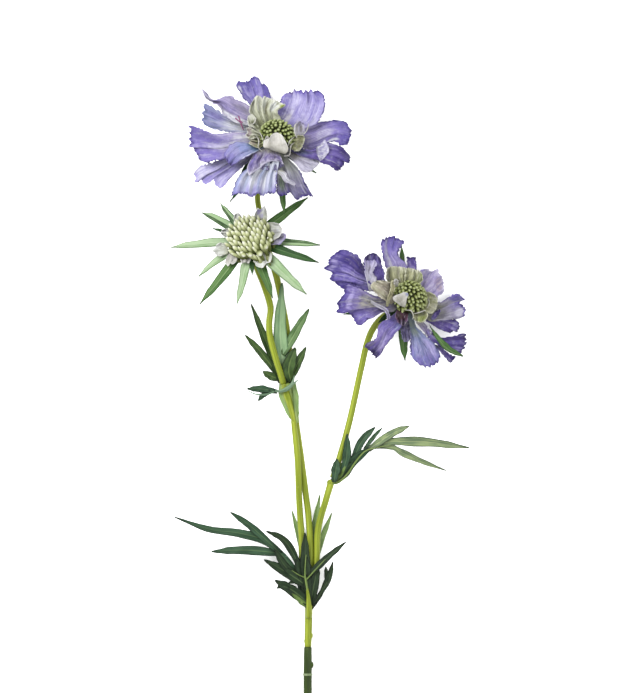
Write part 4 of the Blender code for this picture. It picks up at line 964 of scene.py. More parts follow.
RIGHT_PETALS = (
    ("rear", (100, "lower"), (-7, 10, -9.8, 15.5, -11, 20.1, -11.8, 24.7, -11.6, 27.3), (-11.1, 28.7,
     -10.2, 28.4, -9.4, 29.5, -8.7, 28.9, -8, 30.1, -7, 29.4, -5.8, 30.1, -4.8, 28.9, -3.6, 29, -2.5, 28.4),
     (-1, 10, 0.2, 15, -0.3, 16.9, -1.5, 18.4, -3.5, 20.1, -3.8, 21.5, -3.4, 23, -2.6, 24.7, -1.5, 26.1,
     -0.8, 27.5), (-1.2, -1.6, -3.5), "iris", 41, (1.2, 0.6, 0.3), ((0.64, 0.87, 0.2, 0.13, "deep", 0.9),
     (0.28, 0.62, 0.15, 0.35, "pale", 0.7), (0.97, 0.74, 0.07, 0.2, "night", 0.85),
     (0.5, 0.98, 0.6, 0.03, "night", 0.7), (0.5, 0.22, 0.6, 0.16, "bone", 0.7))),
    ("small", (0.5, 12.5, 4.4, 12.5, -2.2), (0.2, 16.3, 0.1, 18.9, 0, 20.5), (1.6, 20, 3, 20.2), (4.7, 16.4,
     4.5, 18.6, 4.3, 20.1), (-3, -4), "royal", 42, (0, 0, 0), ((0.5, 0.3, 0.4, 0.16, "lilac", 0.7),
     (0.6, 0.7, 0.08, 0.3, "night", 0.7, 15)), SMALL),
    ("rear_right", (38, "upper"), (4, 8, 6, 13.6, 7.7, 13.6), (8.9, 14.3, 10.3, 14.6, 10.9, 13.8, 12, 13.4,
     13.2, 14, 14.6, 14.9, 14.9, 13.2, 16, 11.5, 16.9, 9.7, 17.1, 7.7, 17.4, 5.7), (7, -1, 13.5, 0.8,
     14.3, 2, 15.8, 3, 17.1, 4), (1.8, 2.2, 0.6), "mauve", 43, (1.6, 0.5, 0.2),
     ((0.5, 0.3, 0.6, 0.16, "bone", 0.7), (0.75, 0.85, 0.2, 0.14, "blush", 0.6),
     (0.2, 0.8, 0.25, 0.2, "smoke", 0.5))),
    ("right", (5, "lower"), (8, 2, 14, -0.6, 17.2, 0, 18.9, 1.4, 20.9, 2.5, 24, 3.8), (25.2, 2.5, 27.1, 0.8,
     26.1, 0.2, 24.7, -0.3, 24.5, -1.2, 25.8, -1.8, 27.4, -3.9, 26.9, -5.5, 27.5, -6.4, 26.4, -7.4), (6, -5,
     10.5, -9.5, 14, -9.4, 18, -9, 22.9, -8.4, 25.2, -7.9), (-1.2, -1.6, -3.6), "sage", 44, (2.2, 0.7, 0.4),
     ((0.14, 0.87, 0.16, 0.13, "deep", 0.85), (0.72, 0.9, 0.2, 0.1, "pale", 0.8),
     (0.5, 0.45, 0.5, 0.25, "olive", 0.45))),
    ("right_low", (8, -6.5, 7, -8.5, -2.6), (14, -8, 20, -8.2, 23.4, -9), (24.4, -10.7, 24.4, -12.1,
     23.3, -14.5, 21.7, -13.5, 20.8, -14.8, 19.7, -14.7, 17.9, -13.8), (11, -10.5, 13.6, -12.1, 15.9, -12.8,
     17.1, -12.6), (-2.6, -3.4), "royal", 54, (0, 0, 0), ((0.3, 0.9, 0.3, 0.1, "lilac", 0.7),
     (0.1, 0.6, 0.2, 0.4, "night", 0.6)), SMALL),
    ("fold", (10.8, -8, 11.6, -9.4, 2.4), (12.6, -5.8, 14.8, -4), (15.3, -4.3), (13.6, -7.8, 15.5, -4.9),
     (2.4, 1.4), "royal", 45, (0, 0, 0), ((0.8, 0.6, 0.2, 0.4, "night", 0.8),), SMALL),
    ("front_right", (-31, "upper"), (7, -9, 11, -14.2, 13.9, -16.7, 16.8, -17.3, 19.1, -16.7, 22, -16.3,
     23.7, -16.1, 25.4, -15), (26.6, -15, 27.6, -15.6, 27, -16.7, 27.8, -17.6, 27.2, -18.7, 27.9, -19.6,
     26.8, -20.7, 27, -21.9, 25.6, -22.8, 25.2, -24.3), (6, -11, 10, -17, 13.9, -20, 16.8, -22, 19.7, -23.2,
     23.9, -23.8), (0.6, 0.4, -2), "royal", 46, (1.6, 0.7, 0.6), ((0.5, 0.7, 0.5, 0.3, "deep", 0.5),
     (0.5, 0.45, 0.2, 0.2, "lilac", 0.4), (0.75, 0.9, 0.2, 0.1, "lilac", 0.4))),
    ("front_tip", (15.5, -21, 12.5, -20, -2.4), (19, -24, 22.6, -26), (21.3, -27.4, 20.5, -28.7), (15, -23,
     16.8, -25.1, 19.4, -28), (-3, -3.6), "royal", 47, (0, 0, 0), ((0.7, 0.9, 0.3, 0.2, "lilac", 0.6),),
     SMALL),
    # front: the lilac spot near one edge is a painted highlight.
    ("front", (-67, "lower"), (4.1, -11.5, 6.4, -13.8, 8.2, -15.9, 10.5, -17.3, 12.2, -18.7, 13.6, -21.3,
     15, -23.6, 15.3, -25), (15.6, -26.2, 14.6, -27.3, 14.6, -28.8, 13.3, -28.8, 12.8, -30, 11.4, -29.9,
     10.6, -30.9, 9.5, -30.1, 8.5, -30.9, 7.2, -29.7, 6, -29.8, 5.5, -28.4, 4.4, -28.3, 4.3, -26.9), (0, -9,
     0.7, -12.4, 1.8, -15.9, 1.6, -18.2, 1.5, -21, 1.6, -23.9, 2.3, -25.5, 3.7, -26.4), (-1.2, -2, -4.5),
     "lagoon", 48, (1.6, 0.5, 0.1), ((0.5, 0.28, 0.6, 0.2, "sage", 0.85),
     (0.2, 0.72, 0.13, 0.25, "lilac", 0.8), (0.55, 0.93, 0.35, 0.14, "violet", 0.85),
     (0.92, 0.8, 0.1, 0.2, "violet", 0.8), (0.66, 0.72, 0.03, 0.08, "dark", 0.7),
     (0.36, 0.66, 0.02, 0.07, "dark", 0.7))),
    ("front_crumple", (0.8, -9.5, -2.4, -9.5, -0.6), (1.4, -13.3, 1.9, -16.7), (1, -18.4, -1, -19),
     (-2.8, -13.3, -2.2, -17.3), (0.4, 0), "smoky", 55, (0, 0, 0), ((0.6, 0.5, 0.2, 0.2, "dark", 0.7),),
     {**SMALL, "ripple": (5, 0.8)}),
    ("front_mauve", (6.5, -8.8, 4.2, -10, 0.6), (9, -11.4, 11.4, -15), (10.6, -16.2), (6.6, -13, 8.8, -15.8),
     (1.2, 0.6), "dusk", 56, (0, 0, 0), ((0.5, 0.5, 0.08, 0.5, "dark", 0.6),), {**SMALL,
     "ripple": (5, 0.6)}),
    ("front_left", (-117, "upper"), (-1, -9, -3.3, -13, -5.1, -14.7, -6.8, -17, -9.1, -19.9, -12, -24.2,
     -13.4, -25.7), (-14.5, -26.7, -15.1, -25.2, -16, -25.2, -16.6, -23.6, -17.4, -23.1, -18, -22.1,
     -19.4, -21.4), (-6, -6, -9.1, -8.7, -11.1, -9.5, -12.8, -11, -13.4, -13, -13.5, -15, -14, -16.7,
     -15.1, -17.9, -16.8, -19, -18.9, -20.1), (1.2, 0.6, -1.8), "grape", 49, (1.4, 0.6, 0.5),
     ((0.35, 0.99, 0.35, 0.1, "ink", 0.9), (0.85, 0.9, 0.2, 0.12, "smoke", 0.7),
     (0.4, 0.72, 0.2, 0.2, "lilac", 0.8), (0.75, 0.42, 0.3, 0.2, "violet", 0.7),
     (0.2, 0.28, 0.2, 0.14, "mist", 0.6))),
    ("left", (196, "upper"), (-6, -5, -10.9, -5.1, -13.2, -6.3, -14.9, -7.4, -17, -8, -18.4, -8.8,
     -20.1, -10.3), (-21.3, -11.5, -22.4, -11.3, -23.6, -10.3, -24.7, -8.6, -25.6, -6.8, -27, -5.3,
     -28.5, -5.8, -30.5, -6, -32.3, -5.1, -31.5, -3.4, -32.3, -1.7, -31, 0.1, -30, 1.8, -28.7, 3.4,
     -28.9, 5), (-7, 2, -14.9, 2.1, -19, 4.4, -22.4, 6.1, -25.9, 7.5, -28.2, 7.4), (2.2, 2.6, 0.2),
     "streaked", 50, (2.2, 0.8, 0.5), ((0.7, 0.96, 0.4, 0.07, "deep", 0.9),
     (0.7, 0.84, 0.3, 0.05, "lilac", 0.8), (0.62, 0.45, 0.3, 0.32, "bone", 0.85),
     (0.8, 0.5, 0.1, 0.2, "olive", 0.5), (0.15, 0.82, 0.2, 0.16, "violet", 0.8),
     (0.1, 0.45, 0.14, 0.2, "smoke", 0.8))),
    ("left_rear", (162, "lower"), (-8, 3, -15, 4.2, -22, 4.8, -29.3, 5.1), (-30.8, 6.3, -32.2, 7.5,
     -33.6, 8.7, -35.2, 9.3, -35.2, 10.4, -34.4, 12, -35.9, 13.6, -38, 14.6, -36.8, 16.1, -36.1, 16.7,
     -35.9, 18.5, -35.1, 19.9, -33.9, 21.1, -32.5, 22, -31, 23.1), (-9, 8, -16, 13, -20, 16.2, -21, 18.5,
     -23, 21.1, -24.7, 21.9, -27.3, 23, -29.3, 23.4), (-0.8, -0.8, -3), "banner", 51, (2.2, 0.8, 0.9),
     ((0.82, 0.66, 0.22, 0.3, "night", 0.85), (0.62, 0.94, 0.2, 0.06, "lilac", 0.8),
     (0.2, 0.75, 0.2, 0.2, "violet", 0.6), (0.52, 0.66, 0.06, 0.26, "lilac", 0.85),
     (0.44, 0.66, 0.025, 0.32, "night", 0.9), (0.68, 0.62, 0.025, 0.26, "violet", 0.7),
     (0.35, 0.3, 0.4, 0.16, "mist", 0.8))),
    ("curled", (134, "upper"), (-12, 5, -17.5, 8, -19.5, 12, -20.2, 16.5, -19.5, 19.7), (-17.8, 21.1,
     -15.5, 21.9, -13.8, 21.3), (-8, 7.4, -10.2, 9.8, -10.3, 12.1, -10.9, 14.4, -11.5, 17.3, -12.4, 19.6),
     (1.8, 3.2, 3.4), "shadow", 52, (0, 0, 0), ((0.72, 0.72, 0.04, 0.25, "violet", 0.8),
     (0.8, 0.4, 0.2, 0.1, "mist", 0.8), (0.5, 0.99, 0.6, 0.03, "night", 0.8)), {"cup": 1.6}),
    # veil: the smoke and mist spots in its middle are painted shade.
    ("veil", (-17.3, 4, -16.2, 4.3, 3.2), (-17.8, 6.4, -18.7, 9.8, -19.3, 12.7, -19.4, 16.2, -19.7, 19.4),
     (-19, 18.5, -16.4, 18.2, -14.8, 18.6), (-15.5, 6.7, -14.2, 9, -13.9, 10.4, -15.4, 11.9, -15.5, 13.3,
     -14.1, 15.6, -13.7, 17.4), (4, 4.6, 4.8), "veil", 53, (1.4, 0.5, 0.2),
     ((0.5, 0.75, 0.14, 0.14, "smoke", 0.7), (0.4, 0.45, 0.1, 0.1, "mist", 0.5)), SMALL),
    ("left_frill", (-16.7, 0.4, -16.7, -1.2, 3.4), (-13.2, -1.7, -10, -3.1, -8.3, -5.4, -7.5, -8.2),
     (-8.2, -8.8), (-13.2, -3.3, -10.8, -4.5, -9.5, -6, -9, -8.2), (3.8, 4, 3.2), "veil", 57, (0, 0, 0),
     ((0.5, 0.5, 0.1, 0.5, "smoke", 0.6),), {"ruffle": (4, 0.5), "across": 14, "along": 36}),
)
RIGHT_INNER = (
    ("rear", (118, "inner"), (-6, 5, -9, 9, -9.7, 12, -9, 15), (-6.5, 15.7, -3.5, 15.6, -1.5, 15.3), (-1, 7,
     -0.4, 9.5, -0.4, 12.5, -0.3, 14.8), (3.4, 5, 6), "khaki", 61, (2.6, 0.5, 0.4),
     ((0.1, 0.8, 0.12, 0.3, "smoke", 0.8), (0.6, 0.6, 0.1, 0.4, "bone", 0.6)), {"ripple": (6, 1.1)}),
    ("rear_lobe", (80, "inner"), (-1.5, 7.5, -1, 11, -0.6, 14.7), (1, 15, 4, 14.4, 5.8, 13.6), (5, 6.5,
     7.3, 9.5, 7.2, 12.2), (3.6, 5, 5.4), "khaki", 62, (2.6, 0.5, 0.1), ((0.85, 0.7, 0.2, 0.4, "moss", 0.7),
     (0.9, 0.9, 0.1, 0.15, "lime", 0.5)), {"ripple": (6, 1.1)}),
    ("left", (160, "inner"), (-7, -1.5, -10, 0, -13, 2, -16, 5), (-16.6, 7, -14.5, 8.9), (-6, 4.5, -7.2, 7.8,
     -10.5, 9.1), (4, 5, 5), "bisque", 63, (2.6, 0.6, 0.2), ((0.7, 0.5, 0.25, 0.3, "bark", 0.6),
     (0.2, 0.7, 0.2, 0.3, "moss", 0.4)), {"ripple": (6, 0.9)}),
    ("left_rim", (-9.7, -2.8, -8.7, -2.8, 4), (-9.3, 0.3, -8.1, 3.2, -7.5, 5.7, -7.5, 8.4), (-6.6, 9.2),
     (-7.8, 0.3, -6.5, 3, -5.6, 5.7, -5.8, 8.8), (6, 7.4, 8), "butter", 64, (0, 0, 0),
     ((0.8, 0.5, 0.2, 0.5, "bark", 0.4),), {"ruffle": (3, 0.4)}),
    ("curl", (-5.7, 6, -4.2, 6.6, 7), (-6, 8, -5.9, 9.4), (-5, 9.9), (-4, 7.6, -4.1, 9.1), (8.4, 9.2),
     "ivory", 65, (0, 0, 0), ()),
    ("low", (-1, -3.2, -3.4, -2.3, 8.4), (-0.5, -1.5, -0.2, 0.5, 0.6, 2.6), (0.2, 3.5, -1.5, 3.8, -2.6, 3.2,
     -4.7, 2.6), (-4.6, -1.2, -6.2, 0, -6.5, 1.5), (10.4, 12), "ivory", 66, (0, 0, 0),
     ((0.12, 0.98, 0.14, 0.2, "sky", 0.85), (0.6, 0.6, 0.3, 0.4, "bone", 0.7)), {"fray": (3, 0.15),
     "cup": -1, "ripple": (3, 0.2), "ruffle": (2, 0.2)}),
    ("right", (12, "inner"), (8, 4, 10.5, 4, 13, 2.6), (14.2, 0.5, 14, -2, 13, -4.5), (7, -4, 9, -5.5,
     11.5, -6), (3.6, 4.4, 4.2), "khaki", 67, (3, 0.6, 0.4), ((0.5, 0.85, 0.5, 0.15, "bone", 0.6),),
     {"ripple": (7, 1)}),
    ("front", (-62, "inner"), (8.3, -4.4, 9.6, -7, 8.4, -9.5), (6.5, -10.1, 4.5, -9.7), (1.4, -4.4,
     2.6, -6.6, 3.2, -8.7), (3.6, 5.2, 5), "khaki", 68, (2, 0.6, 0), ((0.4, 0.85, 0.4, 0.25, "lime", 0.7),
     (0.5, 0.55, 0.5, 0.16, "forest", 0.6))),
    ("maroon", (-105, "inner"), (0.6, -5.5, 0.4, -8.6, -0.8, -11), (-2, -11.6), (-4.4, -4.4, -5.4, -7,
     -4.4, -9.8), (3, 3.2, 2.4), "maroon", 69, (2, 0.5, 0.2), ((0.7, 0.6, 0.3, 0.2, "bark", 0.5),
     (0.3, 0.85, 0.4, 0.2, "smoke", 0.8)), {"ripple": (6, 1.1)}),
)
SEED_PETALS = (
    ("side", (8.6, 6.2, 8.6, -2.4, -2.6), (11, 6.4, 13.8, 5.8), (15.6, 3.4, 15.2, 1.2), (11.5, -2,
     14.2, -0.6), (-1.2, 0.8), "ghost", 71, (2.2, 0.7, 0.2), ((0.7, 0.6, 0.3, 0.4, "grey", 0.5),
     (0.45, 0.5, 0.06, 0.5, "smoke", 0.4))),
    ("top", (2.8, 7.4, 8.2, 6, -1.6), (3, 10, 4.4, 13), (5.8, 12.4, 7.4, 13.8), (8.8, 8.4, 8.6, 11.4),
     (0.6, 2), "ghost", 72, (1.6, 0.6, 0.4), ((0.22, 0.75, 0.3, 0.3, "violet", 0.8),
     (0.5, 0.4, 0.2, 0.2, "lilac", 0.7))),
    ("low_side", (9, -0.6, 9.6, -4, -2.8), (12.5, 0.6, 16.4, 1.4), (17.6, 0, 16.4, -2), (12.4, -3.8,
     14.8, -3.8), (-2.4, -1.8), "veil", 73, (1.8, 0.5, 0.2), ()),
    ("left", (-9, -8, -9.6, -3.6, -3.2), (-13, -9.2, -14.8, -8.4), (-16.2, -6.5, -15, -5.4), (-12.6, -3,
     -14.6, -4), (-2.4, -1.8), "ghost", 74, (1.8, 0.5, 0.2), ()),
    ("front_left", (-4.4, -8.2, -8, -7, -3.2), (-5.4, -11.6, -7, -13), (-8.2, -12.6, -9.2, -13.8),
     (-9.8, -9.6, -10.6, -12.2), (-2.4, -1.8), "ivory", 75, (1.8, 0.5, 0.2), ()),
    ("front", (1, -8.6, -3.2, -8.2, -3.2), (1.2, -10.8, 0.2, -12.6), (-1.4, -12), (-3.4, -10.4, -2.8, -12.8),
     (-2.4, -1.8), "ivory", 76, (1.8, 0.5, 0.2), ()),
    ("front_right", (9.6, -5.8, 3, -8, -3), (11, -8.5, 10.4, -12), (8.4, -12.6, 6.6, -14.6), (2.8, -11,
     3.8, -13.8), (-2.4, -1.8), "ghost", 77, (1.8, 0.5, 0.2), ()),
    ("rear_left", (-8, 0.4, -7.6, 3.2, -3), (-10.4, -0.4, -12.2, 0.8), (-12.6, 1.8), (-10.2, 3.4, -12, 2.8),
     (-2.4, -1.8), "ghost", 78, (1.8, 0.5, 0.2), ()),
    ("top_left", (-6.2, 6, -3.2, 7, -2), (-6.6, 8.4, -6, 10.2), (-4.8, 10.8), (-3, 8.8, -3.6, 10),
     (-2.4, -1.8), "ghost", 79, (1.8, 0.5, 0.2), ()),
)

# Rolled edges: knots of x, y, height along the head's axis and radius.
TOP_ROLL = {
    "front_roll": ((-12.5, -16.2, 3.4, 0.2), (-9.7, -13.9, 3.9, 0.45), (-7.6, -12.6, 4.1, 0.4),
     (-5.9, -10.8, 4.1, 0.45), (-3.8, -9.7, 4, 0.35), (-1.7, -9.2, 3.8, 0.3), (1.4, -9.6, 3.2, 0.2)),
}
TOP_RIMS = {
    "left": ((-10.9, 12, 7, 0.2), (-9.6, 10.2, 7.4, 0.38), (-10, 8.5, 7.2, 0.35), (-11.8, 7.2, 6.4, 0.2)),
    "low_left": ((-9.2, 2.4, 6, 0.2), (-8, 0.1, 7, 0.36), (-8.3, -2.9, 6.4, 0.34), (-6.6, -4.8, 5, 0.2)),
    "inner": ((-7.9, 4.2, 8, 0.2), (-6.8, 2.4, 8.4, 0.3), (-6, 0.2, 8, 0.2)),
    "low_right": ((8, 1.7, 7, 0.2), (6, -0.3, 8, 0.36), (5.6, -2.2, 7, 0.2)),
    "corner": ((8.2, -0.8, 6, 0.2), (6.6, -2.5, 6.6, 0.4), (6, -6.4, 5, 0.25), (3.6, -7, 4, 0.25)),
    "right": ((10, 9.3, 9.6, 0.2), (8.5, 6.8, 9.8, 0.42), (8.4, 4, 9, 0.4), (9.4, 1.5, 7.4, 0.25)),
    "far_right": ((14.8, 8, 7.6, 0.2), (14.1, 5.2, 8, 0.32), (12.6, 3.1, 7.4, 0.2)),
}
RIGHT_RIMS = {
    "low": ((-0.6, -4.4, 7, 0.2), (1.8, -4.7, 7.6, 0.36), (2.9, -6.8, 6.6, 0.3), (2.6, -8.6, 5.6, 0.2)),
    "right": ((3.2, -6.2, 6.4, 0.2), (6, -5.4, 7, 0.36), (8.6, -4.4, 6.6, 0.2)),
    "side": ((9.2, -3.6, 5.6, 0.2), (10.2, -1.4, 5.8, 0.3), (10, 1.4, 5.8, 0.2)),
}


# ---------------------------------------------------------------- domes, cores and bracts


def spiral(count, lowest, chance):
    """Azimuths and heights of buds in loose golden-angle spirals, down to an angle from the axis."""
    for index in range(count):
        height = 1.0 - (index + 0.5) / count * (1.0 - math.cos(math.radians(lowest)))
        azimuth = math.degrees(index * GOLDEN_ANGLE) + chance.uniform(-5.0, 5.0)
        yield azimuth, height + chance.uniform(-0.02, 0.02)


def slanted_rows(azimuth, wide, long, chance):
    """Azimuths and heights of buds in loose rows along an azimuth, with steps as shares of the radius."""
    for row in range(-8, 9):
        for place in range(-8, 9):
            aside = (row + chance.uniform(-0.2, 0.2)) * wide
            ahead = (place + 0.5 * (row % 2) + chance.uniform(-0.2, 0.2)) * long
            away = math.hypot(aside, ahead)
            if away < 0.99:
                yield azimuth + math.degrees(math.atan2(aside, ahead)), math.sqrt(1.0 - away * away)


def bud_dome(name, look, head, radius, floor, rise, places, size, length, slot, lean, front, seed, shake):
    """Dome of buds over a dark core.

    lean is the azimuth that the buds bend towards and how much, and no bud stands further down than front.
    """
    chance = random.Random(seed)
    shape = Shape()
    inner = radius - length * 0.5
    core = [(inner * math.sin(t), floor + (rise - length * 0.5) * math.cos(t))
            for t in (math.pi * (0.62 - 0.6 * i / 8) for i in range(9))]
    add_lathe(shape, head, core, sides=24)
    # The core takes the darkest bud colour, as painted shade deep between the buds.
    shape.corners = [(u, 0.0) for u, v in shape.corners]
    bend = (head.at(lean[0], 1.0, 0.0) - head.centre) * lean[1]
    for degrees, height in places:
        height = min(1.0, height)
        flank = math.sqrt(1.0 - height * height)
        top = head.at(degrees, radius * flank, floor + rise * height)
        outward = (head.at(degrees, flank / radius, height / rise) - head.centre).normalized()
        jolt = Vector([chance.uniform(-shake, shake) for axis in range(3)])
        along = (outward + bend + jolt).normalized()
        grow = chance.uniform(0.8, 1.2)
        if head.plan(top).y > front:
            tip = top + along * (length * 0.1)
            add_bud(shape, tip, along, size * chance.uniform(0.78, 1.2), length * grow)
    shape.make(name, (look,), slot)


def add_bracts(shape, head, rows, root_radius, root_height, seed):
    """Folded pointed bracts that start inside a head's core; returns the paints they use."""
    chance = random.Random(seed)
    looks = list(dict.fromkeys(row[-1] for row in rows))
    for azimuth, reach, half_width, tip, look in rows:
        bend = chance.uniform(-3.0, 3.0)
        sag = chance.uniform(-0.6, 0.8)
        spine = (head.at(azimuth, root_radius, root_height),
                 head.at(azimuth + bend, reach * 0.4, (root_height + tip) * 0.5 + 0.6 + sag),
                 head.at(azimuth + bend * 0.6, reach * 0.72, tip + 0.8 + sag),
                 head.at(azimuth, reach, tip))
        add_blade(shape, spine, half_width * 1.2, BRACT, fold=0.3, lean=chance.uniform(-20.0, 20.0),
                  face=head.axis, paint=looks.index(look))
    return looks


def involucre(prefix, head, rows, seed, wedges=()):
    """Green core under a bloom, with an upper band painted very dark as shade under the petals, and its
    bracts.
    """
    core = Shape()
    cone = ((1.2, CORE_BOTTOM), (1.6, CORE_BOTTOM + 0.5), (2.8, CORE_BOTTOM + 1.6), (3.6, -6.4), (4.1, -5.0),
            (CORE_RADIUS, -3.0))
    add_lathe(core, head, cone, ribs=0.03)
    # Upper band of the core: painted shade in the gap between the dome and the petals.
    add_lathe(core, head, ((CORE_RADIUS, -2.9), (CORE_RADIUS, 0.0), (CORE_RADIUS, CORE_TOP)), paint=1)
    core.make(prefix + "_involucre", ("stem_green", "gap_green"), "bracts")
    shape = Shape()
    looks = add_bracts(shape, head, rows, root_radius=3.0, root_height=-5.2, seed=seed)
    for spine, half_width, paint in wedges:
        add_blade(shape, [head.seen(*spot) for spot in spine], half_width, paint=paint)
    shape.make(prefix + "_bracts", looks, "bracts", LEAF_SHEET)


def build_seed_head(head):
    """Seed head: dome of florets on its star of bracts, with whitish leftover petals round its rim."""
    cup = Shape()
    profile = ((1.4, -9.4), (1.9, -9.2), (3.0, -8.4), (5.0, -7.6), (7.5, -6.8), (9.3, -5.8), (9.5, -4.6))
    add_lathe(cup, head, profile, ribs=0.03)
    cup.make("seed_cup", ("stem_green",), "bracts", node="seed_bracts")
    shape = Shape()
    looks = add_bracts(shape, head, SEED_BRACTS, root_radius=6.0, root_height=-5.3, seed=5)
    shape.make("seed_star", looks, "bracts", LEAF_SHEET)
    chance = random.Random(18)
    places = [*slanted_rows(-57.0, 0.15, 0.27, chance),
              *((40.0 * step + chance.uniform(-9.0, 9.0), chance.uniform(-0.2, 0.1)) for step in range(9))]
    bud_dome("seed_dome", "floret_paint", head, radius=11.8, floor=-3.8, rise=8.8, places=places, size=1.05,
             length=6.0, slot="seed_dome", lean=(125.0, 1.7), front=-99.0, seed=8, shake=0.3)
    petals("seed_petal_", head, SEED_PETALS, slot="seed_petals", back="cream_back", across=26, along=20,
           cup=0.4, ripple=(3, 0.3), ruffle=(2, 0.3), fray=(4, 0.25))
    pods = Shape()
    for x, y, size in SEED_PODS:
        centre = head.seen(x, y, 1.6)
        outward = (centre - head.centre).normalized()
        add_bud(pods, centre + outward * size, outward, size, size * 2.2, 12)
    pods.make("seed_pods", ("floret_paint",), "seed_dome")


def build_top_bloom(head, chance):
    """Top bloom, with the pink thread that lies on its left petals."""
    wedge = ((-8.6, -5.6, -3.4), (-12.2, -9.8, -4.0), (-16.6, -17.6, -6.0))
    involucre("top", head, TOP_BRACTS, seed=3, wedges=((wedge, 1.6, 0),))
    petals("top_petal_", head, TOP_PETALS)
    petals("top_petal_", head, TOP_FLAPS)
    rims("top_petal_", head, TOP_ROLL, "lilac_rim", "top_petals")
    petals("top_inner_", head, TOP_INNER, **INNER_LOOK)
    rims("top_rim_", head, TOP_RIMS)
    bud_dome("top_dome", "bud_paint", head, radius=8.6, floor=DOME_FLOOR, rise=DOME_RISE,
             places=spiral(BUDS, BUD_SPREAD, chance), size=0.84, length=3.4, slot="dome", lean=(-90.0, 0.6),
             front=-3.0, seed=6, shake=0.22)
    thread = (((-15, 5, 4.2, 0.2), (-16, 7.5, 5.6, 0.32), (-17.4, 11.6, 6.4, 0.3)),
              ((-16.3, 8.4, 5.8, 0.25), (-18.8, 10.6, 6.4, 0.35)),
              ((-16.6, 9.4, 6.0, 0.25), (-15.4, 8.4, 6.2, 0.3)))
    tubes("top_stamen", "stamen_pink", "dome",
          [[(*head.seen(x, y, height), radius) for x, y, height, radius in knots] for knots in thread],
          sides=8, step=0.5)


def build_right_bloom(head, chance):
    """Right bloom, with a bract that shows between its front petals."""
    involucre("right", head, RIGHT_BRACTS, seed=4)
    petals("right_petal_", head, RIGHT_PETALS, slot="right_petals")
    petals("right_inner_", head, RIGHT_INNER, **INNER_LOOK)
    rims("right_rim_", head, RIGHT_RIMS)
    bud_dome("right_dome", "right_bud_paint", head, radius=8.4, floor=DOME_FLOOR, rise=DOME_RISE,
             places=spiral(BUDS, BUD_SPREAD, chance), size=0.8, length=3.2, slot="dome", lean=(-70.0, 0.7),
             front=-5.5, seed=7, shake=0.22)
    over = Shape()
    spots = ((10.4, -11.2, 2), (14.6, -18, 3), (19.2, -22.6, 2.8), (26, -25.7, 0.6))
    add_blade(over, [head.seen(*spot) for spot in spots], 1.9, LEAF, fold=0.4, lean=-15.0, face=head.axis)
    over.make("right_bract_over", ("bract_fresh",), "bracts", LEAF_SHEET)


# ---------------------------------------------------------------- stems


def stem(name, knots, knobs=()):
    """Ribbed round stem through knots of x, y, z and radius, with its collars."""
    shape = Shape()
    add_tube(shape, knots)
    for centre, size in knobs:
        add_knob(shape, centre, size)
    shape.make(name, ("stem_green",), "stems")


def build_sleeve():
    """Dark sleeve at the lower end, with its collar ring."""
    sleeve = Shape()
    add_tube(sleeve, ((-5.7, -152, 2.1, 1.85), (-5.7, -151.2, 2.1, 1.98), (-5.7, -138, 2.2, 1.98),
                      (-5.7, -124.2, 2.5, 1.95), (-5.6, -113.2, 2.8, 1.85), (-5.6, -112, 2.8, 1.65)))
    add_knob(sleeve, (-4, -120, 2.9), (1.1, 1.6, 0.9))
    add_tube(sleeve, ((-5.7, -125, 2.5, 2.05), (-5.7, -124.8, 2.5, 2.25), (-5.7, -124.2, 2.5, 2.25),
                      (-5.7, -124, 2.5, 2.05)), step=0.2, paint=1)
    sleeve.make("stem_sleeve", ("sleeve_green", "ring_green"), "sleeve")


def build_fork():
    """Main stem with its fork, two nubs and the foot of the front leaf's midrib."""
    fork = Shape()
    add_tube(fork, ((-5.6, -111.6, 2.9, 1.6), (-5.4, -104, 3.3, 1.75), (-5.2, -94, 4.1, 1.75),
                    (-5.1, -85, 5.2, 1.7)))
    for centre, size in (((-5.1, -87, 5), (3, 4.6, 1.7)), ((-4, -106.5, 3.2), (0.7, 1.5, 0.7)),
                         ((-6.6, -109, 3.2), (0.8, 1.2, 0.7))):
        add_knob(fork, centre, size)
    add_tube(fork, ((-5.2, -98, 4.9, 1.4), (-5.2, -93, 7.2, 1.3), (-5.4, -88.6, 8.8, 0.9),
                    (-6, -84, 9.5, 0.45), (-6.6, -80, 9.7, 0.2)), sides=12)
    fork.make("stem_main", ("stem_green",), "stems")


def build_front_ribs():
    """Midribs of the front leaf."""
    rib = Shape()
    add_tube(rib, ((-5.6, -87.4, 9.2, 0.3), (-6.2, -83, 9.8, 0.5), (-6.9, -78.5, 10.1, 0.36),
                   (-6.8, -74, 10.1, 0.26), (-6.4, -69, 10.2, 0.14)), sides=10)
    add_tube(rib, ((-6.6, -79.6, 9.9, 0.3), (-9.6, -78.4, 9.8, 0.22), (-13, -76.2, 9.6, 0.12)), sides=8)
    add_tube(rib, ((-6.4, -80.6, 9.8, 0.3), (-3.6, -77.6, 10.4, 0.28), (2.4, -71, 11.6, 0.12)), sides=8)
    rib.make("leaf_base_front_ribs", ("rib_green",), "leaves")


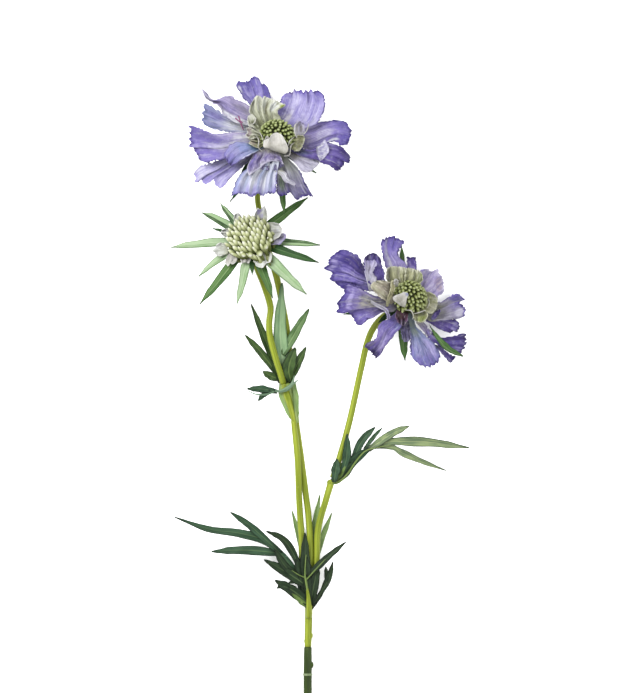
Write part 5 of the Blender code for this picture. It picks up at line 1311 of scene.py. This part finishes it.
def build_stems():
    """Branches, the sheath where the left ones part, and the stems of the heads."""
    stem("stem_branch_left", ((-7.4, -85.4, 5.5, 1.45), (-8.3, -70, 6.4, 1.5), (-8.6, -59.8, 7, 1.5),
                              (-9.6, -43.7, 8, 1.5), (-10.3, -25.3, 9.2, 1.5), (-12.2, -7, 10.4, 1.3)))
    stem("stem_branch_right", ((-5.1, -85.4, 5.6, 1.45), (-4.4, -71, 5.9, 1.5), (-5.2, -52.9, 5.9, 1.5),
                               (-6.6, -41, 6, 1.5), (-8.6, -25.3, 6.4, 1.5), (-11, -7, 7.8, 1.3)))
    build_sheath()
    stem("stem_top_bloom", ((-13.4, 10, 8.4, 1.5), (-14.3, 26.2, 10.2, 1.5), (-15.6, 36.8, 11, 1.5),
                            (-19.8, 58, 11.8, 1.5), (-24, 72, 12.4, 1.45), (-27.6, 87.5, 13.2, 1.3),
                            (-28.6, 98, 13.6, 1.3), (-24.6, 107.2, 14.3, 1.5), (-21.5, 112.4, 16.3, 1.65),
                            (-20.8, 115.2, 19.8, 1.7)))
    stem("stem_seed_head", ((-16.9, 10, 12.3, 1.5), (-18.4, 15, 14.2, 1.5), (-20.2, 20.7, 15.5, 1.5),
                            (-22.9, 31, 16, 1.5), (-23.4, 38, 15.8, 1.5), (-22.8, 45, 15.6, 1.5),
                            (-25.5, 54.5, 16, 1.55), (-28.8, 63, 15.8, 1.6), (-31, 71, 16.6, 1.65),
                            (-31.6, 73.8, 20, 1.7)))
    stem("stem_right_lower", ((-2.8, -85.4, 5.5, 1.45), (-1.6, -73.6, 6, 1.5), (-0.9, -57.5, 6.6, 1.5),
                              (2.8, -43.7, 7.2, 1.55), (5.2, -35.4, 7.6, 1.7)),
         knobs=(((5.2, -35.6, 7.6), (2.1, 1.4, 2)),))
    stem("stem_right_upper", ((6, -33.6, 7.8, 1.6), (10.1, -20.7, 8.3, 1.5), (14.3, -4.6, 8.9, 1.5),
                              (19, 17, 9.5, 1.5), (22.3, 30.5, 9.8, 1.5), (27, 38.5, 9.9, 1.55),
                              (34.6, 44.4, 8.9, 1.6)))


def build_sheath():
    """Sheath where the two left stems part, with two leaf bases round it."""
    sheath = Shape()
    add_tube(sheath, ((-15.2, 9.6, 10.2, 3.3), (-15, 6.4, 10.1, 3.6), (-13.4, 0, 9.7, 2.9),
                      (-11.6, -6, 9.2, 1.9), (-11.1, -8.2, 8.9, 1.6)))
    add_tube(sheath, ((-17, 10.4, 12.6, 0.9), (-15.6, 6, 13, 1.5), (-13.8, 0, 12.2, 1.5),
                      (-12.2, -6.6, 10.9, 1.1), (-12, -8.4, 10.4, 0.8)), paint=1)
    for spine, half_width, lean in (
            (((-17.6, 10.6, 11.4), (-17.4, 5, 11.8), (-15.2, -1.6, 11.2), (-13, -6.8, 10.2)), 1.5, 35),
            (((-12.4, 10.2, 12.4), (-11.6, 4, 12.4), (-11.2, -2.4, 11.2), (-10.2, -7.2, 9.6)), 1.6, -35)):
        add_blade(sheath, spine, half_width, fold=0.5, lean=lean, wave=0.5, paint=2)
    sheath.make("stem_sheath", ("stem_light", "stem_green", "leaf_back"), "stems")


# ---------------------------------------------------------------- leaves


def leaf(name, look, blades):
    """Leaf of blades: spine, half width, form, width at the base, lean, and perhaps a paint of its own."""
    shape = Shape()
    looks = list(dict.fromkeys([look, *(own for blade in blades for own in blade[5:])]))
    for spine, half_width, form, base, lean, *own in blades:
        add_blade(shape, spine, half_width, form, base, lean=lean, paint=looks.index(own[0]) if own else 0)
    slot = "leaf_backs" if name in ("leaf_base_back", "leaf_upper_centre") else "leaves"
    shape.make(name, looks, slot, LEAF_SHEET)


def build_base_leaves():
    """Leaves round the fork."""
    leaf("leaf_base_front", "leaf_deep", (
        (((-5.3, -92, 6.2), (-6.6, -84, 7.6), (-7.6, -76, 8.4), (-8.6, -70.5, 9)), 3.9, BLUNT, 1, 0),
        (((-5.2, -92.8, 6.5), (-5.4, -86, 8.5), (-6.6, -76, 9.1), (-6.9, -67, 9.7), (-6.9, -58.9, 10.4)),
         2.4, LEAF, 0.9, 8),
        (((-4.4, -92.4, 6.2), (-3.2, -85, 7.6), (-2, -79, 8.6), (-1.2, -73.6, 9)), 2.3, LOBE, 0, 0),
        (((-5.6, -91, 7.5), (-12.5, -85.6, 7.8), (-20.8, -80.8, 8.4)), 2.6, LOBE, 0, -10),
        (((-5.8, -93, 7.2), (-9, -90.2, 7.7), (-13, -86.8, 8.4)), 1.3, LOBE, 0, -10, "leaf_foot"),
        (((-14, -84.6, 8), (-17.4, -83.4, 8.2), (-20, -84.6, 8.2)), 1.1, LOBE, 0, -10),
        (((-9, -82.6, 8.4), (-11.6, -81.4, 8.6), (-14.4, -81.9, 8.6)), 1.1, LOBE, 0, 10),
        (((-5.9, -83.5, 8.6), (-14.5, -77.8, 8.5), (-25.8, -71.3, 9.4)), 2.4, LOBE, 0, 12),
        (((-5.9, -79.5, 8.9), (2.2, -71.4, 10), (12, -63, 11.5)), 1.7, LOBE, 0, -12)))
    leaf("leaf_base_left", "leaf_dark", (
        (((-7.2, -88.6, 6.2), (-12.6, -75.5, 7), (-23.9, -63.5, 9), (-36.8, -59.2, 10.5),
          (-51.5, -57.2, 11.5), (-67, -51.6, 12.5)), 2.1, LEAF, 1.2, 10),
        (((-18, -68.5, 8), (-31.5, -56.2, 11.3), (-41.4, -49.2, 13)), 1.8, LOBE, 0, -14),
        (((-18.5, -68.4, 7.7), (-34, -67, 9), (-50.1, -67.6, 8.5)), 2.2, LOBE, 0, 14),
        (((-9, -79, 7.4), (-15.5, -75, 8.6), (-21, -66.4, 10.2)), 1.9, LOBE, 0, 0, "leaf_deep")))
    leaf("leaf_base_upper", "leaf_deep", (
        (((-7.6, -83.2, 7.4), (-10.6, -72, 9.2), (-16.6, -62.1, 11.8), (-24.8, -58, 13.8)), 1.9, LEAF,
         0.7, -10),))
    leaf("leaf_base_right_lower", "leaf_deep", (
        (((-4.2, -93.8, 4.4), (0.9, -86, 5.2), (4.4, -78.5, 6.2), (6, -72.2, 7.4)), 1.5, LEAF, 1, 10),
        (((3, -81.5, 5.8), (3, -78, 6.1), (2.6, -74.6, 6.6)), 1.1, LOBE, 0, 0)))
    leaf("leaf_base_back", "leaf_back", (
        (((-4.6, -84, 2.8), (-3.2, -62, 3.1), (0, -41.4, 4)), 1.7, LEAF, 1, 0),
        (((-5, -78.5, 2.9), (-8.7, -64.4, 3.2), (-12.9, -48.8, 4.4)), 1.5, LOBE, 0, 8),
        (((-4.4, -78.5, 2.9), (0, -64.4, 3), (5.5, -49.7, 3.6)), 1.5, LOBE, 0, -8)))


def build_strand():
    """Thin leaf strand that crosses the upper sheath."""
    strand = Shape()
    add_tube(strand, ((-20.4, 6.3, 12.4, 0.5), (-17.6, 6.5, 14.6, 0.75), (-15.2, 7.5, 15.4, 1.05),
                      (-13.2, 9.3, 15.6, 0.8), (-12.2, 11.6, 15.4, 0.4), (-11.8, 13.6, 15, 0.15)), sides=10,
             step=0.5, ribs=0.12)
    for knots in (((-14.6, 7.9, 15.6, 0.4), (-12.2, 9.7, 15.8, 0.45), (-10, 11.6, 15.4, 0.15)),
                  ((-21, 6.2, 12, 0.35), (-24.6, 4.9, 12.2, 0.45), (-29.6, 5, 12.6, 0.35),
                   (-33.8, 6.9, 12, 0.12))):
        add_tube(strand, knots, sides=8, step=0.5, ribs=0.12)
    strand.make("leaf_strand", ("strand_green",), "leaves")


def build_upper_leaves():
    """Leaves round the upper sheath."""
    leaf("leaf_upper_centre", "leaf_grey", (
        (((-15.6, 10.3, 10.4), (-17.2, 20, 12.6), (-18.4, 34, 13.6), (-17.5, 56.1, 15.5)), 3.5, LEAF,
         1, 6),
        (((-17.2, 23, 12.9), (-11.5, 33, 13.8), (-5.1, 44.2, 15.5)), 2.2, LOBE, 0, -14,
         "leaf_fresh")))
    leaf("leaf_upper_left", "leaf_olive", (
        (((-18.3, 10.3, 9.6), (-21.8, 21, 11.3), (-26.4, 33, 13), (-31.7, 46.5, 15)), 1.9, LEAF,
         1, 10),
        (((-19.8, 14.5, 10.3), (-27.4, 24.5, 12.2), (-34.5, 32.2, 13.5)), 1.8, LOBE, 0, -10),
        (((-19.2, 12, 9.9), (-22.8, 13.4, 10.3), (-26.4, 15.4, 10.8)), 1.9, LOBE, 0, 0)))
    leaf("leaf_upper_right", "leaf_olive", (
        (((-13.2, 10.3, 11.2), (-14.4, 17, 14), (-11.4, 26.4, 15)), 3.2, LEAF, 1, 0),
        (((-13.4, 12, 12), (-10.3, 19, 14), (-6.4, 26.7, 15)), 1.9, LOBE, 0, -10)))
    leaf("leaf_upper_low", "leaf_dark", (
        (((-19.6, 6, 10.6), (-26, 7.2, 10.4), (-33.6, 7.4, 11.5)), 1.8, LEAF, 1, 8),
        (((-22.6, 6.3, 10.5), (-26, 4.6, 10.2), (-28.5, 1.8, 10.6)), 1.3, LOBE, 0, 0)))


def build_right_leaves():
    """Long lobed leaf and two small leaves at the collar of the right stem."""
    leaf("leaf_right", "leaf_dark", (
        (((6.2, -35.4, 7.4), (10.8, -31.2, 8), (15.4, -25.6, 9), (24.6, -18.8, 10.4)), 2.7, LOBE, 0, 8),
        (((6, -35.2, 8.6), (9.4, -30.6, 9.4), (11.8, -25.4, 10.4)), 2, LOBE, 0, 0, "leaf_foot"),
        (((25, -19.2, 10.4), (33.1, -16.8, 11.2), (50.6, -17.2, 11.5), (69, -19.8, 10)), 2.3, LEAF, 1.2,
         8, "leaf_long"),
        (((14.5, -27, 8.8), (19.4, -16.4, 10.6), (25.4, -10.2, 12)), 1.8, LOBE, 0, 0),
        (((20.4, -20.4, 9.8), (24.6, -14.9, 10.9), (28.6, -10.5, 11.6)), 1, LOBE, 0, 0),
        (((22.4, -20.6, 10.4), (32.6, -13.6, 12), (41.2, -9.6, 13)), 1.9, LOBE, 0, -12, "leaf_long"),
        (((24.6, -19.2, 10.3), (33, -19.4, 10.5), (38, -22, 10.2), (46, -25.6, 9.6), (58.4, -30.4, 8.5)),
         1.7, LEAF, 1, 14, "leaf_long")))
    tubes("leaf_right_stalk", "rib_green", "leaves", (
        ((4.6, -35.8, 8.6, 0.9), (8.4, -35.6, 8.6, 0.7), (12.6, -31.8, 8.8, 0.5), (16.4, -26.2, 9.8, 0.4),
         (20.8, -21.3, 10.8, 0.32), (26, -19.7, 11.4, 0.25), (32.6, -18.4, 12, 0.12)),), sides=10)
    leaf("leaf_right_upright", "leaf_dark", (
        (((9.8, -32.8, 9), (12.2, -24, 11), (12.6, -13.3, 12.5)), 2, LEAF, 1, 0),))
    leaf("leaf_right_small", "leaf_dark", (
        (((6.4, -35.6, 10.3), (7.2, -30.5, 10.9), (7.9, -24.8, 11.2)), 2.2, LEAF, 1, 0),))


# ---------------------------------------------------------------- stage and camera


def add_area_light(name, place, aim, size, power):
    """Soft square light at a place, aimed at a point, both in metres."""
    data = bpy.data.lights.new(name, "AREA")
    data.size = size
    data.energy = power
    item = bpy.data.objects.new(name, data)
    item.location = place
    item.rotation_mode = "QUATERNION"
    item.rotation_quaternion = (Vector(aim) - Vector(place)).to_track_quat("-Z", "Y")
    bpy.context.scene.collection.objects.link(item)


def build_stage():
    """Pale floor, soft studio lights and an even pale surround."""
    half = 3.0
    data = bpy.data.meshes.new("floor")
    corners = [(-half, -half, 0), (half, -half, 0), (half, half, 0), (-half, half, 0)]
    data.from_pydata(corners, [], [(0, 1, 2, 3)])
    data.materials.append(floor_paint())
    floor = bpy.data.objects.new("floor", data)
    bpy.context.scene.collection.objects.link(floor)
    floor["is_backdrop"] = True
    add_area_light("key_light", place=(-0.75, 0.75, 1.1), aim=(0.0, 0.03, 0.0), size=0.9, power=54.0)
    add_area_light("fill_light", place=(0.7, -0.4, 1.2), aim=(0.0, 0.0, 0.0), size=1.6, power=29.0)
    world = bpy.data.worlds.new("studio")
    world.use_nodes = True
    background = world.node_tree.nodes["Background"]
    background.inputs["Color"].default_value = (1.0, 1.0, 1.0, 1.0)
    background.inputs["Strength"].default_value = 1.1
    bpy.context.scene.world = world
    bpy.context.scene.view_settings.view_transform = "Standard"


def build_camera():
    """Long lens far above the spray, looking straight down on it. Lengths are in metres."""
    middle = (-0.0023, 0.0269)
    distance = 4.0
    plane = 0.015
    long_side = 0.3188
    data = bpy.data.cameras.new("camera")
    data.lens = data.sensor_width * (distance - plane) / long_side
    data.clip_end = 20.0
    item = bpy.data.objects.new("camera", data)
    item.location = (*middle, distance)
    bpy.context.scene.collection.objects.link(item)
    bpy.context.scene.camera = item


def write_sizes():
    """Work out the CAD box and the box of the visual model; the table is not kept."""
    boxes = {"cad": cad_box, "visual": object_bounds()}
    {name: [list(corner) for corner in box] for name, box in boxes.items()}


build_camera()
build_stage()
build_sleeve()
build_front_ribs()
build_fork()
build_stems()
build_base_leaves()
build_upper_leaves()
build_strand()
build_right_leaves()
bud_chance = random.Random(16)
build_top_bloom(Head(*TOP_BLOOM), bud_chance)
build_right_bloom(Head(*RIGHT_BLOOM), bud_chance)
build_seed_head(Head(*SEED_HEAD))
write_sizes()
